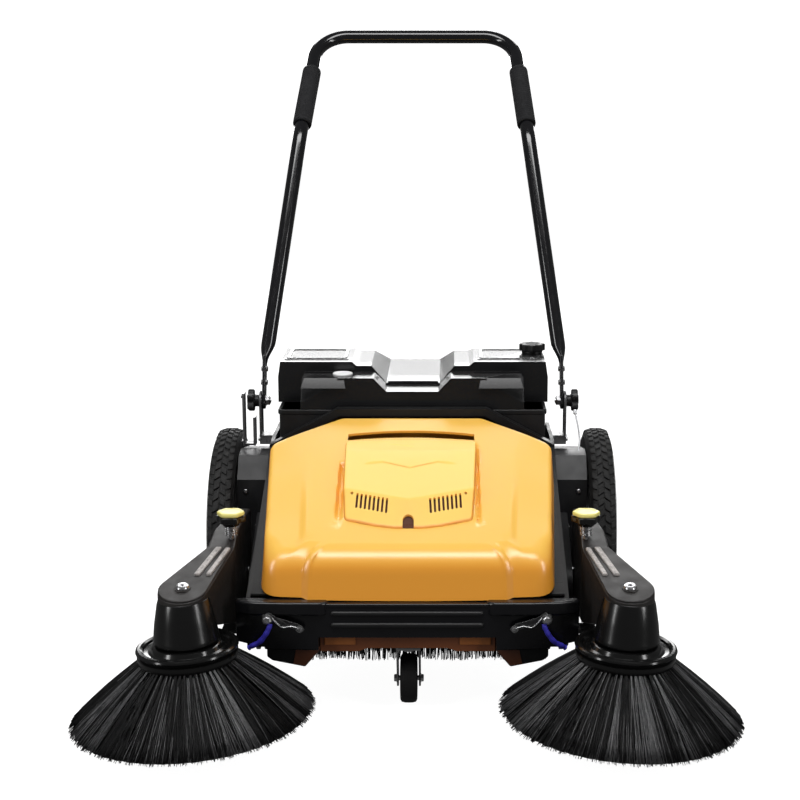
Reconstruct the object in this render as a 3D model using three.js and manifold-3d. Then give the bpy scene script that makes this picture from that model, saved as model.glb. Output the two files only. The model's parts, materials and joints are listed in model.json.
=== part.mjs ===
// Walk-behind sweeper: two side brushes, one main roller, two drive wheels, a front caster
// and a rear hopper. Millimetres, +Z up, front of the machine towards -Y.
// Lengths along the machine are "stations" measured from the side-brush centres; the whole
// model is moved by -ORIGIN_STATION at the end so the origin is under the middle of the box.
import * as THREE from 'three';
import { ConvexGeometry } from 'three/addons/geometries/ConvexGeometry.js';
import { mergeVertices } from 'three/addons/utils/BufferGeometryUtils.js';
import Module from 'manifold-3d';

const wasm = await Module();
wasm.setup();

// ---------------------------------------------------------------- main dimensions
const GAP = 0.3;                 // clearance between pieces that touch
const SIDE_IN = 235, SIDE_OUT = 241;   // chassis side plate, inner and outer face
const WHEEL_Y = 520, WHEEL_R = 172;    // drive-wheel axle station and tyre radius
const TYRE_IN = 300, TYRE_OUT = 344;
const ROLLER_Y = 310, ROLLER_Z = 130, ROLLER_R = 124, CORE_R = 64;
const BRUSH_X = 314, BRUSH_Z = 30;     // side-brush rim centre
const RIM_R = 182;                     // side-brush bristle tip radius
const BRUSH_OUT_TILT = 3, BRUSH_FWD_TILT = 0.5;   // degrees, axis leans outward and forward
const HUB_TOP = 182, HUB_BASE = 119;   // fixed cone over the brush, along the brush axis
const CASTER_Y = 108, CASTER_TRAIL = 22, CASTER_R = 38;
const PIVOT_X = 258, PIVOT_Y = 505, PIVOT_Z = 400;   // handle pivots
const TUBE_R = 12.5;
const BELT_X0 = 247, BELT_X1 = 258;    // plane of the drive belts
const BIG_PULLEY_R = 70, SMALL_PULLEY_R = 33, SIDE_PULLEY_R = 20, BRUSH_PULLEY_R = 20;
const BULKHEAD_Y = 439, HOPPER_Y0 = 448, HOPPER_Y1 = 786;
const HOPPER_X = 226, HOPPER_Z0 = 104, LID_Z = 396, WING_Z = 467, SHELF_Z = 450, DIP_Z = 430;
const KNOB_X = 272, KNOB_Y = 150;      // arm height knobs

// ---------------------------------------------------------------- helpers
const deg = Math.PI / 180;
const v3 = (x, y, z) => new THREE.Vector3(x, y, z);

function box(x0, x1, y0, y1, z0, z1) {
  const g = new THREE.BoxGeometry(x1 - x0, y1 - y0, z1 - z0);
  g.translate((x0 + x1) / 2, (y0 + y1) / 2, (z0 + z1) / 2);
  return g;
}
const shapeOf = pts => new THREE.Shape(pts.map(p => new THREE.Vector2(p[0], p[1])));
function extrude(pts, depth, holes = []) {
  const s = shapeOf(pts);
  for (const h of holes) s.holes.push(new THREE.Path(h.map(p => new THREE.Vector2(p[0], p[1]))));
  return new THREE.ExtrudeGeometry(s, { depth, bevelEnabled: false, curveSegments: 12 });
}
// outline in (y, z), swept along X
function prismX(pts, x0, x1, holes) {
  const g = extrude(pts, x1 - x0, holes);
  g.applyMatrix4(new THREE.Matrix4().makeBasis(v3(0, 1, 0), v3(0, 0, 1), v3(1, 0, 0)));
  return g.translate(x0, 0, 0);
}
// outline in (x, z), swept along Y
function prismY(pts, y0, y1, holes) {
  const g = extrude(pts, y1 - y0, holes);
  g.applyMatrix4(new THREE.Matrix4().makeBasis(v3(1, 0, 0), v3(0, 0, 1), v3(0, -1, 0)));
  return g.translate(0, y1, 0);
}
// outline in (x, y), swept along Z
function prismZ(pts, z0, z1, holes) {
  return extrude(pts, z1 - z0, holes).translate(0, 0, z0);
}
const hull = pts => new ConvexGeometry(pts.map(p => v3(p[0], p[1], p[2])));
function circle(cx, cy, r, n = 24, from = 0, to = 360) {
  const full = to - from === 360, out = [];
  for (let i = 0; i < (full ? n : n + 1); i++) {
    const a = (from + (to - from) * i / n) * deg;
    out.push([cx + r * Math.cos(a), cy + r * Math.sin(a)]);
  }
  return out;
}
// turned body about Z from a closed list of [radius, height]
function turned(profile, seg = 32) {
  const closed = profile.concat([profile[0]]);
  const onAxis = profile[0][0] === 0 && profile[profile.length - 1][0] === 0;
  const pts = (onAxis ? profile : closed).map(p => new THREE.Vector2(p[0], p[1]));
  return new THREE.LatheGeometry(pts, seg);
}
// turned body about X: profile is [radius, x]
function turnedX(profile, y, z, seg = 32) {
  const g = turned(profile, seg);              // LatheGeometry turns about its own Y
  g.rotateZ(-90 * deg);
  return g.translate(0, y, z);
}
function turnedZ(profile, x, y, seg = 32) {
  const g = turned(profile, seg);
  g.rotateX(90 * deg);
  return g.translate(x, y, 0);
}
const rodX = (r, x0, x1, y, z, seg = 24) => turnedX([[0, x0], [r, x0], [r, x1], [0, x1]], y, z, seg);
const rodZ = (r, z0, z1, x, y, seg = 24) => turnedZ([[0, z0], [r, z0], [r, z1], [0, z1]], x, y, seg);

function solid(geo) {
  const g = geo.clone();
  for (const k of Object.keys(g.attributes)) if (k !== 'position') g.deleteAttribute(k);
  const m = mergeVertices(g, 1e-4), idx = m.index.array, keep = [];
  for (let i = 0; i < idx.length; i += 3) {
    const [a, b, c] = [idx[i], idx[i + 1], idx[i + 2]];
    if (a !== b && b !== c && a !== c) keep.push(a, b, c);
  }
  let volume = 0;
  const p = m.attributes.position, A = v3(), B = v3(), C = v3();
  for (let i = 0; i < keep.length; i += 3) {
    A.fromBufferAttribute(p, keep[i]); B.fromBufferAttribute(p, keep[i + 1]);
    C.fromBufferAttribute(p, keep[i + 2]);
    volume += A.dot(B.cross(C));
  }
  if (volume < 0) for (let i = 0; i < keep.length; i += 3) [keep[i], keep[i + 1]] = [keep[i + 1], keep[i]];
  return new wasm.Manifold(new wasm.Mesh({
    numProp: 3, vertProperties: new Float32Array(p.array), triVerts: new Uint32Array(keep),
  }));
}
function join(list, cuts = []) {
  let r = solid(list[0]);
  for (const g of list.slice(1)) r = r.add(solid(g));
  for (const g of cuts) r = r.subtract(solid(g));
  const mesh = r.getMesh(), out = new THREE.BufferGeometry();
  const pos = new Float32Array(mesh.vertProperties.length / mesh.numProp * 3);
  for (let i = 0; i < pos.length / 3; i++)
    for (let k = 0; k < 3; k++) pos[3 * i + k] = mesh.vertProperties[i * mesh.numProp + k];
  out.setAttribute('position', new THREE.BufferAttribute(pos, 3));
  out.setIndex(new THREE.BufferAttribute(new Uint32Array(mesh.triVerts), 1));
  return out;
}
const mirrored = list => list.map(g => {
  const m = g.clone().scale(-1, 1, 1);
  if (!m.index) return m;
  const a = m.index.array;
  for (let i = 0; i < a.length; i += 3) [a[i], a[i + 1]] = [a[i + 1], a[i]];
  return m;
});
// right-hand pieces are drawn at +X, the left-hand ones are their mirror image
const sided = (side, list) => (side === 'left' ? mirrored(list) : list);
const both = list => list.concat(mirrored(list));

// outline round two circles: sampled, then the convex outline is kept
function beltOutline(c1, r1, c2, r2, n = 20) {
  const pts = circle(c1[0], c1[1], r1, n).concat(circle(c2[0], c2[1], r2, n));
  pts.sort((a, b) => a[0] - b[0] || a[1] - b[1]);
  const cross = (o, a, b) => (a[0] - o[0]) * (b[1] - o[1]) - (a[1] - o[1]) * (b[0] - o[0]);
  const half = src => {
    const h = [];
    for (const q of src) {
      while (h.length > 1 && cross(h[h.length - 2], h[h.length - 1], q) <= 1e-6) h.pop();
      h.push(q);
    }
    h.pop();
    return h;
  };
  return half(pts).concat(half(pts.slice().reverse()));
}
// round tube through points, corners rounded with the given radius
function filletPath(points, radii, step = 16) {
  const out = [points[0].clone()];
  for (let i = 1; i < points.length - 1; i++) {
    const p = points[i], a = points[i - 1].clone().sub(p).normalize();
    const b = points[i + 1].clone().sub(p).normalize();
    const half = Math.acos(a.dot(b)) / 2, t = radii[i - 1] / Math.tan(half);
    const s = p.clone().addScaledVector(a, t), e = p.clone().addScaledVector(b, t);
    const n = Math.max(3, Math.round((Math.PI - 2 * half) * radii[i - 1] / step));
    const bis = a.clone().add(b).normalize(), c = p.clone().addScaledVector(bis, radii[i - 1] / Math.sin(half));
    const u = s.clone().sub(c).normalize(), w = e.clone().sub(c).normalize();
    const full = Math.acos(u.dot(w));
    for (let k = 0; k <= n; k++) {
      const f = full * k / n;
      const d = u.clone().multiplyScalar(Math.sin(full - f)).addScaledVector(w, Math.sin(f));
      out.push(c.clone().addScaledVector(d.multiplyScalar(1 / Math.sin(full)), radii[i - 1]));
    }
  }
  out.push(points[points.length - 1].clone());
  return out;
}
function polyTube(pts, r, inner = 0, seg = 8) {
  const path = new THREE.CurvePath();
  for (let i = 0; i < pts.length - 1; i++) path.add(new THREE.LineCurve3(pts[i], pts[i + 1]));
  const s = shapeOf(circle(0, 0, r, seg));
  if (inner) s.holes.push(new THREE.Path(circle(0, 0, inner, seg).map(p => new THREE.Vector2(...p))));
  const smooth = new THREE.CatmullRomCurve3(pts, false, 'centripetal');
  return new THREE.ExtrudeGeometry(s, { steps: 40, extrudePath: smooth, bevelEnabled: false });
}

// ---------------------------------------------------------------- materials
const paint = (color, roughness, metalness = 0) => ({ color, roughness, metalness });
const ORANGE = paint(0xf0a83c, 0.45), BLACK = paint(0x1a1a1a, 0.55), GLOSS = paint(0x0e0e0e, 0.25);
const RUBBER = paint(0x161616, 0.85), STEEL = paint(0xb8b8b8, 0.35, 0.9), PAINTED = paint(0x141414, 0.3, 0.4);
const YELLOW = paint(0xe8de7a, 0.45), BLUE = paint(0x2c2aa8, 0.5), BRISTLE = paint(0x1c1c1e, 0.7);
const SKIRT = paint(0xa85a24, 0.5), PALE = paint(0xe8e8e8, 0.4);

const group = new THREE.Group();
group.name = 'walk_behind_sweeper';
const pieces = [];
function piece(name, geometry, look) {
  const mesh = new THREE.Mesh(geometry, new THREE.MeshStandardMaterial(look));
  mesh.name = name;
  pieces.push(mesh);
  group.add(mesh);
}

// ---------------------------------------------------------------- chassis
const sidePlate = [[66, 114], [120, 104], [180, 66], [398, 66], [424, 92], [612, 92], [612, 318], [580, 345],
  [470, 345], [424, 338], [345, 296], [100, 202], [66, 189]];
const bulkhead = [[-SIDE_OUT, 66], [SIDE_OUT, 66], [SIDE_OUT, 340], [126, 402], [-126, 402], [-SIDE_OUT, 340]];
const MOUTH = { x: 205, z0: 140, z1: 300 };
const chassisParts = [
  ...both([
    prismX(sidePlate, SIDE_IN, SIDE_OUT),
    box(204, SIDE_IN + 1, BULKHEAD_Y, 604, 94, HOPPER_Z0 - GAP * 2),          // hopper rail
    box(SIDE_OUT - 1, 290, 140, 174, 106, 112),                           // rest under the arm
    prismX([[142, 108], [172, 108], [172, 80], [164, 80]], SIDE_OUT - 1, 247),
  ]),
  prismY(bulkhead, BULKHEAD_Y, BULKHEAD_Y + 4,
    [[[-MOUTH.x, MOUTH.z0], [-MOUTH.x, MOUTH.z1], [MOUTH.x, MOUTH.z1], [MOUTH.x, MOUTH.z0]]]),
  box(-SIDE_IN - 1, SIDE_IN + 1, 66, 180, 112, 118),                      // front deck
  box(-SIDE_IN - 1, SIDE_IN + 1, 66, 70, 112, 186),                       // front wall
  box(-SIDE_IN - 1, SIDE_IN + 1, 176, 180, 76, 229),                     // wall ahead of the roller
  box(-SIDE_IN - 1, SIDE_IN + 1, 424, BULKHEAD_Y + 1, 300, 318),          // cross bar over the mouth
  prismY([[-SIDE_OUT, 300], [-SIDE_OUT, 340], [-126, 402], [126, 402], [SIDE_OUT, 340], [SIDE_OUT, 300],
    [229, 300], [229, 333], [122, 390], [-122, 390], [-229, 333], [-229, 300]], 421, BULKHEAD_Y + 1),
];
const shaftHoles = both([rodX(12, SIDE_IN - 5, SIDE_OUT + 5, ROLLER_Y, ROLLER_Z)]);
const axleHoles = both([rodX(11.3, SIDE_IN - 5, SIDE_OUT + 5, WHEEL_Y, WHEEL_R)]);
const casterBolts = [rodZ(7, 105, 125, 0, CASTER_Y)];
piece('chassis', join(chassisParts, [...shaftHoles, ...axleHoles, ...casterBolts]), BLACK);

// ---------------------------------------------------------------- bumper, skirt
const BUMP_X = 256;
const bumperOutline = [[-BUMP_X, 66 - GAP], [-BUMP_X, 58], [-226, 50], [-120, 44], [120, 44], [226, 50],
  [BUMP_X, 58], [BUMP_X, 66 - GAP]];
const ledgeOutline = [[-BUMP_X, 66 - GAP], [-BUMP_X, 54], [-226, 42], [-128, 38], [-116, 44], [116, 44],
  [128, 38], [226, 42], [BUMP_X, 54], [BUMP_X, 66 - GAP]];
const foot = prismY([[131, 118], [131, 108], [154, 82], [203, 92], [211, 98], [211, 118]], 60, 104);
const endCut = hull([[213, 30, 113], [213, 70, 113], [260, 30, 113], [260, 70, 113], [260, 30, 124.6],
  [260, 70, 124.6], [213, 30, 117.5], [213, 70, 117.5]]);
piece('bumper', join([
  prismZ(bumperOutline, 114, 184),
  prismZ(ledgeOutline, 180, 190),
  prismZ([[-118, 60], [-112, 40], [112, 40], [118, 60]], 150, 158),
  prismZ([[-118, 60], [-112, 40], [112, 40], [118, 60]], 168, 176),
  foot, ...mirrored([foot]),
], [box(-260, 260, 66 - GAP, 120, 111.7, 140), box(-132, 132, 30, 70, 100, 134), endCut,
  ...mirrored([endCut])]), BLACK);
piece('front_skirt', join([
  prismY([[-131.5, 106], [131.5, 106], [131.5, 134 - GAP], [-131.5, 134 - GAP]], 62, 66 - GAP),
], [box(-66, 66, 60, 80, 100, 111)]), SKIRT);

// ---------------------------------------------------------------- hood
const slope = 130 / 345, hoodZ = y => 260 + (y - 70) * slope;
const WALL = 4;
// half outlines in plan at the lower rim and at the top face
function hoodPoints(inset) {
  const w = inset;
  const half = [
    [219 - w, 58 + w, 193], [150 - w * 0.2, 56 + w, 190], [225 - w, 100, 206], [235 - w, 345 - w, 300],
    [118 - w, 418 - w, 345], [218 - w, 64 + w, 244 - w], [150, 60 + w, 251 - w],
    [216 - w, 84, hoodZ(84) - 10 - w], [154, 78, hoodZ(78) - w],
    [233 - w, 338 - w, hoodZ(338) - 12 - w], [172 - w, 368 - w, hoodZ(368) - w],
    [122 - w, 414 - w, hoodZ(414) - w],
  ];
  return half.concat(half.map(p => [-p[0], p[1], p[2]]));
}
const lowered = hoodPoints(WALL).map(p => [p[0], p[1], p[2]]);
const cavityDrop = lowered.filter((p, i) => i % 12 < 5).map(p => [p[0], p[1], p[2] - 60]);
const slotCut = box(-104, 104, 352, 374, 335, 400);
piece('hood', join([hull(hoodPoints(0))], [hull(lowered.concat(cavityDrop)), slotCut]), ORANGE);

// raised cover panel on the hood with two groups of louvres and a thumb notch
const PANEL_LIFT = 20;
function panelPoints(drop, inset) {
  const base = y => hoodZ(y) + GAP;
  const half = [
    [108 - inset, 348 - inset, base(348) + 4 - drop], [108 - inset, 348 - inset, base(348)],
    [102 - inset, 190, base(190) + PANEL_LIFT - drop], [4, 164, base(164) + PANEL_LIFT - drop],
    [99 - inset, 142 + inset, base(142)], [4, 122 + inset, base(122)],
    [106 - inset, 300, base(300) + 12 - drop],
  ];
  return half.concat(half.map(p => [-p[0], p[1], p[2]]));
}
const louvres = [];
for (const s of [-1, 1]) for (let i = 0; i < 4; i++) {
  const x = s * (30 + i * 14);
  louvres.push(box(x - 3, x + 3, 120, 182, 262, 330).applyMatrix4(
    new THREE.Matrix4().makeTranslation(0, 0, 0)));
}
const panelInner = panelPoints(4, 4);
const panelCavity = hull(panelInner.concat(panelInner.map(p => [p[0], p[1], p[2] - 30])));
piece('vent_panel', join([hull(panelPoints(0, 0))],
  [panelCavity, rodZ(8, 240, 320, 0, 124, 16), ...louvres.map(g => g.translate(0, -4, 0))]), ORANGE);

// ---------------------------------------------------------------- caster
piece('caster_plate', join([
  box(-26, 26, CASTER_Y - 30, CASTER_Y + 30, 108, 112 - GAP),
  rodZ(6, 98, 128, 0, CASTER_Y, 16),
  rodZ(10, 118 + GAP, 124, 0, CASTER_Y, 6),
  rodZ(11, 92, 96 - GAP, 0, CASTER_Y, 16), rodZ(6, 92, 110, 0, CASTER_Y, 16),
]), STEEL);
const axleY = CASTER_Y + CASTER_TRAIL;
const cheek = prismX([[CASTER_Y - 16, 102], [CASTER_Y + 20, 102], [axleY + 9, 44], [axleY + 4, 27],
  [axleY - 6, 27], [axleY - 11, 44]], 15.5, 18.5);
piece('caster_fork', join([
  box(-18.5, 18.5, CASTER_Y - 16, CASTER_Y + 20, 96, 102),
  rodZ(20, 102, 108 - GAP, 0, CASTER_Y, 16),
  cheek, ...mirrored([cheek]),
], [rodZ(6.3, 80, 120, 0, CASTER_Y, 16), rodX(4.3, -30, 30, axleY, CASTER_R, 16)]), STEEL);
piece('caster_wheel', turnedX([[4.4, -13.5], [12, -13.5], [12, -11], [34, -12.5], [CASTER_R, -6],
  [CASTER_R, 6], [34, 12.5], [12, 11], [12, 13.5], [4.4, 13.5]],
  axleY, CASTER_R, 24), RUBBER);
piece('caster_axle', join([rodX(4, -22, 22, axleY, CASTER_R, 16),
  rodX(7, -23, -18.5 - GAP, axleY, CASTER_R, 6), rodX(7, 18.5 + GAP, 23, axleY, CASTER_R, 6)]), STEEL);

// ---------------------------------------------------------------- main roller
piece('roller_core', join([
  turnedX([[CORE_R - 4, -222], [CORE_R, -222], [CORE_R, 222], [CORE_R - 4, 222]], ROLLER_Y, ROLLER_Z, 18),
  rodX(9, -299, 299, ROLLER_Y, ROLLER_Z, 12),
  ...both([rodX(CORE_R - 2, 208, 214, ROLLER_Y, ROLLER_Z, 18), rodX(16, 213, 232, ROLLER_Y, ROLLER_Z, 12),
    rodX(13, 295, 299, ROLLER_Y, ROLLER_Z, 6)]),
], both([0, 120, 240].map(a => rodX(12, 200, 220, ROLLER_Y + 36 * Math.cos(a * deg),
  ROLLER_Z + 36 * Math.sin(a * deg), 6)))), STEEL);
piece('roller_bristles', turnedX([[CORE_R + 0.8, -220], [ROLLER_R, -226], [ROLLER_R, 226], [CORE_R + 0.8, 220]], ROLLER_Y, ROLLER_Z, 28), BRISTLE);
for (const side of ['left', 'right']) {
  piece(`${side}_roller_pulley`, join(sided(side, [turnedX([
    [9 + GAP, 245], [SMALL_PULLEY_R + 5, 245], [SMALL_PULLEY_R + 5, BELT_X0 - GAP],
    [SMALL_PULLEY_R, BELT_X0 - GAP], [SMALL_PULLEY_R, BELT_X1 + GAP], [16, BELT_X1 + GAP],
    [16, 270], [SIDE_PULLEY_R + 6, 270], [SIDE_PULLEY_R + 6, 272], [SIDE_PULLEY_R, 272],
    [SIDE_PULLEY_R, 284], [9 + GAP, 284]], ROLLER_Y, ROLLER_Z, 18)])), BLACK);
}

// ---------------------------------------------------------------- drive wheels and their belts
for (const side of ['left', 'right']) {
  const s = list => sided(side, list);
  piece(`${side}_stub_axle`, join(s([
    rodX(10, 231, 350, WHEEL_Y, WHEEL_R, 16), rodX(18, 228, SIDE_IN - GAP, WHEEL_Y, WHEEL_R, 6),
    rodX(16, SIDE_OUT + GAP, 244, WHEEL_Y, WHEEL_R, 12), rodX(15, 343, 350, WHEEL_Y, WHEEL_R, 12)])), STEEL);
  const tread = [[124, 304], [150, TYRE_IN], [168, 303], [WHEEL_R, 310], [WHEEL_R, 334],
    [168, 341], [150, TYRE_OUT], [124, 340]];
  piece(`${side}_tyre`, join(s([turnedX(tread, WHEEL_Y, WHEEL_R, 32)])), RUBBER);
  const rimRing = turnedX([[112, 304], [124 - GAP - 0.9, 304], [124 - GAP - 0.9, 340], [112, 340]], WHEEL_Y, WHEEL_R, 32);
  const hub = turnedX([[10 + GAP, 246], [BIG_PULLEY_R + 6, 246], [BIG_PULLEY_R + 6, BELT_X0 - GAP],
    [BIG_PULLEY_R, BELT_X0 - GAP], [BIG_PULLEY_R, BELT_X1 + GAP], [BIG_PULLEY_R + 6, BELT_X1 + GAP],
    [BIG_PULLEY_R + 6, 260], [24, 260], [24, 342], [10 + GAP, 342]],
  WHEEL_Y, WHEEL_R, 16);
  const spokes = [0, 1, 2, 3, 4].map(i => box(310, 332, -9, 9, 20, 115).rotateX(i * 72 * deg)
    .translate(0, WHEEL_Y, WHEEL_R));
  piece(`${side}_rim`, join(s([rimRing, hub, ...spokes])), BLACK);
  piece(`${side}_hub_cap`, join(s([turnedX([[0, 358], [20, 356], [30, 348], [30, 342 + GAP],
    [17, 342 + GAP], [17, 351], [0, 351]], WHEEL_Y, WHEEL_R, 18)])), BLACK);
  const c1 = [ROLLER_Y, ROLLER_Z], c2 = [WHEEL_Y, WHEEL_R];
  const outer = beltOutline(c1, SMALL_PULLEY_R + 5, c2, BIG_PULLEY_R + 5);
  const inner = beltOutline(c1, SMALL_PULLEY_R + 0.6, c2, BIG_PULLEY_R + 1.2).reverse();
  piece(`${side}_drive_belt`, join(s([prismX(outer, BELT_X0, BELT_X1, [inner])])), RUBBER);
  // guard: a slim cover forward over the roller pulley, a deep box in front of the wheel
  const slim = beltOutline(c1, 44, [430, 152], 76, 20);
  const deepBox = [[412, 92], [604, 92], [604, 262], [560, 306], [470, 322], [440, 318], [412, 282]];
  const slimIn = beltOutline(c1, 41, [430, 152], 73, 20);
  const deepIn = [[415, 95], [601, 95], [601, 261], [558, 303], [470, 319], [442, 315], [415, 281]];
  piece(`${side}_belt_guard`, join(
    s([prismX(slim, SIDE_OUT + GAP, 263), prismX(deepBox, SIDE_OUT + GAP, 296)]),
    s([prismX(slimIn, SIDE_OUT - 1, 260), prismX(deepIn, SIDE_OUT - 1, 293),
      prismX([[404, 98], [420, 98], [420, 222], [404, 222]], SIDE_OUT - 1, 259.9),
      rodX(18, 255, 268, ROLLER_Y, ROLLER_Z, 20), rodX(27, 285, 300, WHEEL_Y, WHEEL_R, 24)])), BLACK);
}

// ---------------------------------------------------------------- side brushes and their arms
// brush frame: local Z runs up the brush axis from the middle of the bristle rim
function brushFrame() {
  const up = v3(Math.sin(BRUSH_OUT_TILT * deg), -Math.sin(BRUSH_FWD_TILT * deg), 1).normalize();
  const q = new THREE.Quaternion().setFromUnitVectors(v3(0, 0, 1), up);
  return new THREE.Matrix4().compose(v3(BRUSH_X, 0, BRUSH_Z), q, v3(1, 1, 1));
}
const BRUSH = brushFrame();
const onBrush = g => g.applyMatrix4(BRUSH);
const HUB = v3(0, 0, HUB_TOP).applyMatrix4(BRUSH);            // top centre of the cone

for (const side of ['left', 'right']) {
  const s = list => sided(side, list);
  // arm: a hollow, open-bottomed beam from the roller shaft to the brush cone
  const topAt = y => 223 + 0.225 * y;
  const hubRound = r => circle(HUB.x, HUB.y, r, 12);
  const beam1 = k => hull([
    ...hubRound(36 - k).map(p => [p[0], p[1], topAt(p[1]) - k]),
    ...hubRound(36 - k).map(p => [p[0], p[1], k ? 150 : 172]),
    ...[264 + k, 306 - k].flatMap(x => [[x, 120, k ? 90 : 132], [x, 120, topAt(120) - k]])]);
  const beam2 = k => hull([
    ...[264 + k, 306 - k].flatMap(x => [[x, 118, k ? 90 : 132], [x, 118, topAt(118) - k]]),
    ...[265 + k, 303 - k].flatMap(x => [[x, 175, 262 - k]]),
    ...[266 + k, 291 - k].flatMap(x => [[x, 348 - k, k ? 60 : 92], [x, 348 - k, 250 - k], [x, 250, 262 - k]])]);
  const cone = onBrush(turnedZ([[0, HUB_BASE], [47, HUB_BASE], [48, HUB_BASE + 3], [44, 146], [37, HUB_TOP - 3],
    [34, HUB_TOP], [0, HUB_TOP]], 0, 0, 20));
  const coneIn = onBrush(turnedZ([[0, HUB_BASE - 10], [43, HUB_BASE - 10], [43.5, HUB_BASE], [40, 146],
    [33, HUB_TOP - 5], [0, HUB_TOP - 5]], 0, 0, 20));
  piece(`${side}_arm_housing`, join(s([beam1(0), beam2(0), cone]), s([beam1(4), beam2(4), coneIn,
    rodX(46, 255, 275, ROLLER_Y, ROLLER_Z, 18), rodX(9.4, 280, 300, ROLLER_Y, ROLLER_Z, 16),
    rodZ(4.4, 215, 280, KNOB_X, KNOB_Y, 12),
  ])), BLACK);
  // lid on top of the sloping front part, with two raised ribs
  const lidPts = z => [...hubRound(36).map(p => [p[0], p[1], topAt(p[1]) + z]),
    [266, 117, topAt(117) + z], [304, 117, topAt(117) + z]];
  const rib = (x0, y0, x1, y1) => hull([[x0, y0], [x1, y1]].flatMap(([x, y]) =>
    [-2.2, 2.2].flatMap(dx => [1, 6.5].map(dz => [x + dx, y, topAt(y) + dz]))));
  piece(`${side}_arm_cover`, join(s([hull([...lidPts(GAP), ...lidPts(3.5)]),
    rib(300, 34, 277, 110), rib(319, 36, 291, 112), rodZ(9, 225, 232, HUB.x, HUB.y, 12)])), BLACK);
  // round belt: upright loop at the roller shaft, flat loop at the brush, quarter turn between
  const loop = [], beltR = 2.5, xr = 278, R1 = SIDE_PULLEY_R + beltR + 2, R2 = BRUSH_PULLEY_R + beltR + 2;
  for (let a = 90; a >= -90; a -= 22.5)
    loop.push(v3(xr, ROLLER_Y + R1 * Math.cos(a * deg), ROLLER_Z + R1 * Math.sin(a * deg)));
  loop.push(v3(279, 150, 143));
  for (let a = 190; a <= 375; a += 18.5)
    loop.push(v3(R2 * Math.cos(a * deg), R2 * Math.sin(a * deg), 152).applyMatrix4(BRUSH));
  loop.push(v3(286, 150, 174));
  const loopPath = new THREE.CatmullRomCurve3(loop, true, 'centripetal');
  piece(`${side}_side_belt`, join(s([new THREE.TubeGeometry(loopPath, 40, beltR, 4, true)])), RUBBER);
  // height knob: fluted body on a short threaded rod, coloured cap, coil spring on the rod
  const flute = [];
  for (let i = 0; i < 24; i++) {
    const a = i * 15 * deg, r = 20 + 1.5 * Math.cos(6 * a);
    flute.push([KNOB_X + r * Math.cos(a), KNOB_Y + r * Math.sin(a)]);
  }
  piece(`${side}_knob`, join(s([prismZ(flute, 283, 293), rodZ(13, 277, 284, KNOB_X, KNOB_Y, 14),
    rodZ(4, 222, 280, KNOB_X, KNOB_Y, 12)])), BLACK);
  piece(`${side}_knob_cap`, join(s([turnedZ([[0, 293 + GAP], [18.5, 293 + GAP], [19, 296], [16, 299], [0, 300]],
    KNOB_X, KNOB_Y, 18)])), YELLOW);
  const turns = 3.5, coil = [];
  for (let i = 0; i <= turns * 12; i++) {
    const a = i * 30 * deg;
    coil.push(v3(KNOB_X + 8 * Math.cos(a), KNOB_Y + 8 * Math.sin(a), 261 + 14 * i / (turns * 12)));
  }
  const wire = new THREE.ExtrudeGeometry(shapeOf(circle(0, 0, 1.4, 4)),
    { steps: 28, extrudePath: new THREE.CatmullRomCurve3(coil), bevelEnabled: false });
  piece(`${side}_knob_spring`, join(s([wire])), STEEL);
  // rotating brush: spindle with its pulley, disc with a raised lip, bristle skirt
  piece(`${side}_brush_spindle`, join(s([onBrush(turnedZ([[0, 90], [14, 90], [14, 98], [7, 98], [7, 142],
    [BRUSH_PULLEY_R + 5, 142], [BRUSH_PULLEY_R + 5, 145], [BRUSH_PULLEY_R, 145], [BRUSH_PULLEY_R, 160],
    [BRUSH_PULLEY_R + 5, 160], [BRUSH_PULLEY_R + 5, 163], [7, 163], [7, 172], [0, 172]], 0, 0, 16))])), STEEL);
  piece(`${side}_brush_disc`, join(s([onBrush(turnedZ([[7 + GAP, 98 + GAP], [72, 100], [75, 104], [73, 111], [67, 112],
    [63, 106], [56, 105], [46, 115], [7 + GAP, 115]], 0, 0, 24))])), GLOSS);
  piece(`${side}_brush_bristles`, join(s([onBrush(turnedZ([[40, 97], [70, 98], [74, 88], [100, 67], [130, 47], [RIM_R, 4], [RIM_R - 3, 0],
    [RIM_R - 14, 0], [116, 32], [46, 68]], 0, 0, 30))])), BRISTLE);
}

// ---------------------------------------------------------------- adjusting links at the bumper
for (const side of ['left', 'right']) {
  const s = list => sided(side, list);
  const bolt = (x, z, r, y0) => rodX(r, -y0, -24, 0, 0, 12).rotateZ(90 * deg).translate(x, 0, z);
  const plate = prismY([[152, 150], [158, 144], [166, 150], [196, 160], [212, 160], [214, 172], [204, 176],
    [192, 168], [160, 158]], 36, 38);
  const pin = (x, z, r, y0, y1) => prismY(circle(x, z, r, 10), y0, y1);
  piece(`${side}_tie_link`, join(s([plate, pin(206, 167, 7, 30, 37), pin(206, 167, 3, 36, 41 - GAP),
    pin(159, 151, 5, 33, 37), pin(159, 151, 3, 36, 42 - GAP)])), STEEL);
  const sleevePath = new THREE.CatmullRomCurve3([v3(203, 30, 156), v3(208, 28, 146), v3(217, 29, 134),
    v3(231, 32, 125)]);
  piece(`${side}_tie_sleeve`, join(s([new THREE.ExtrudeGeometry(shapeOf(circle(0, 0, 5, 8)),
    { steps: 10, extrudePath: sleevePath, bevelEnabled: false })])), BLUE);
}

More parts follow.
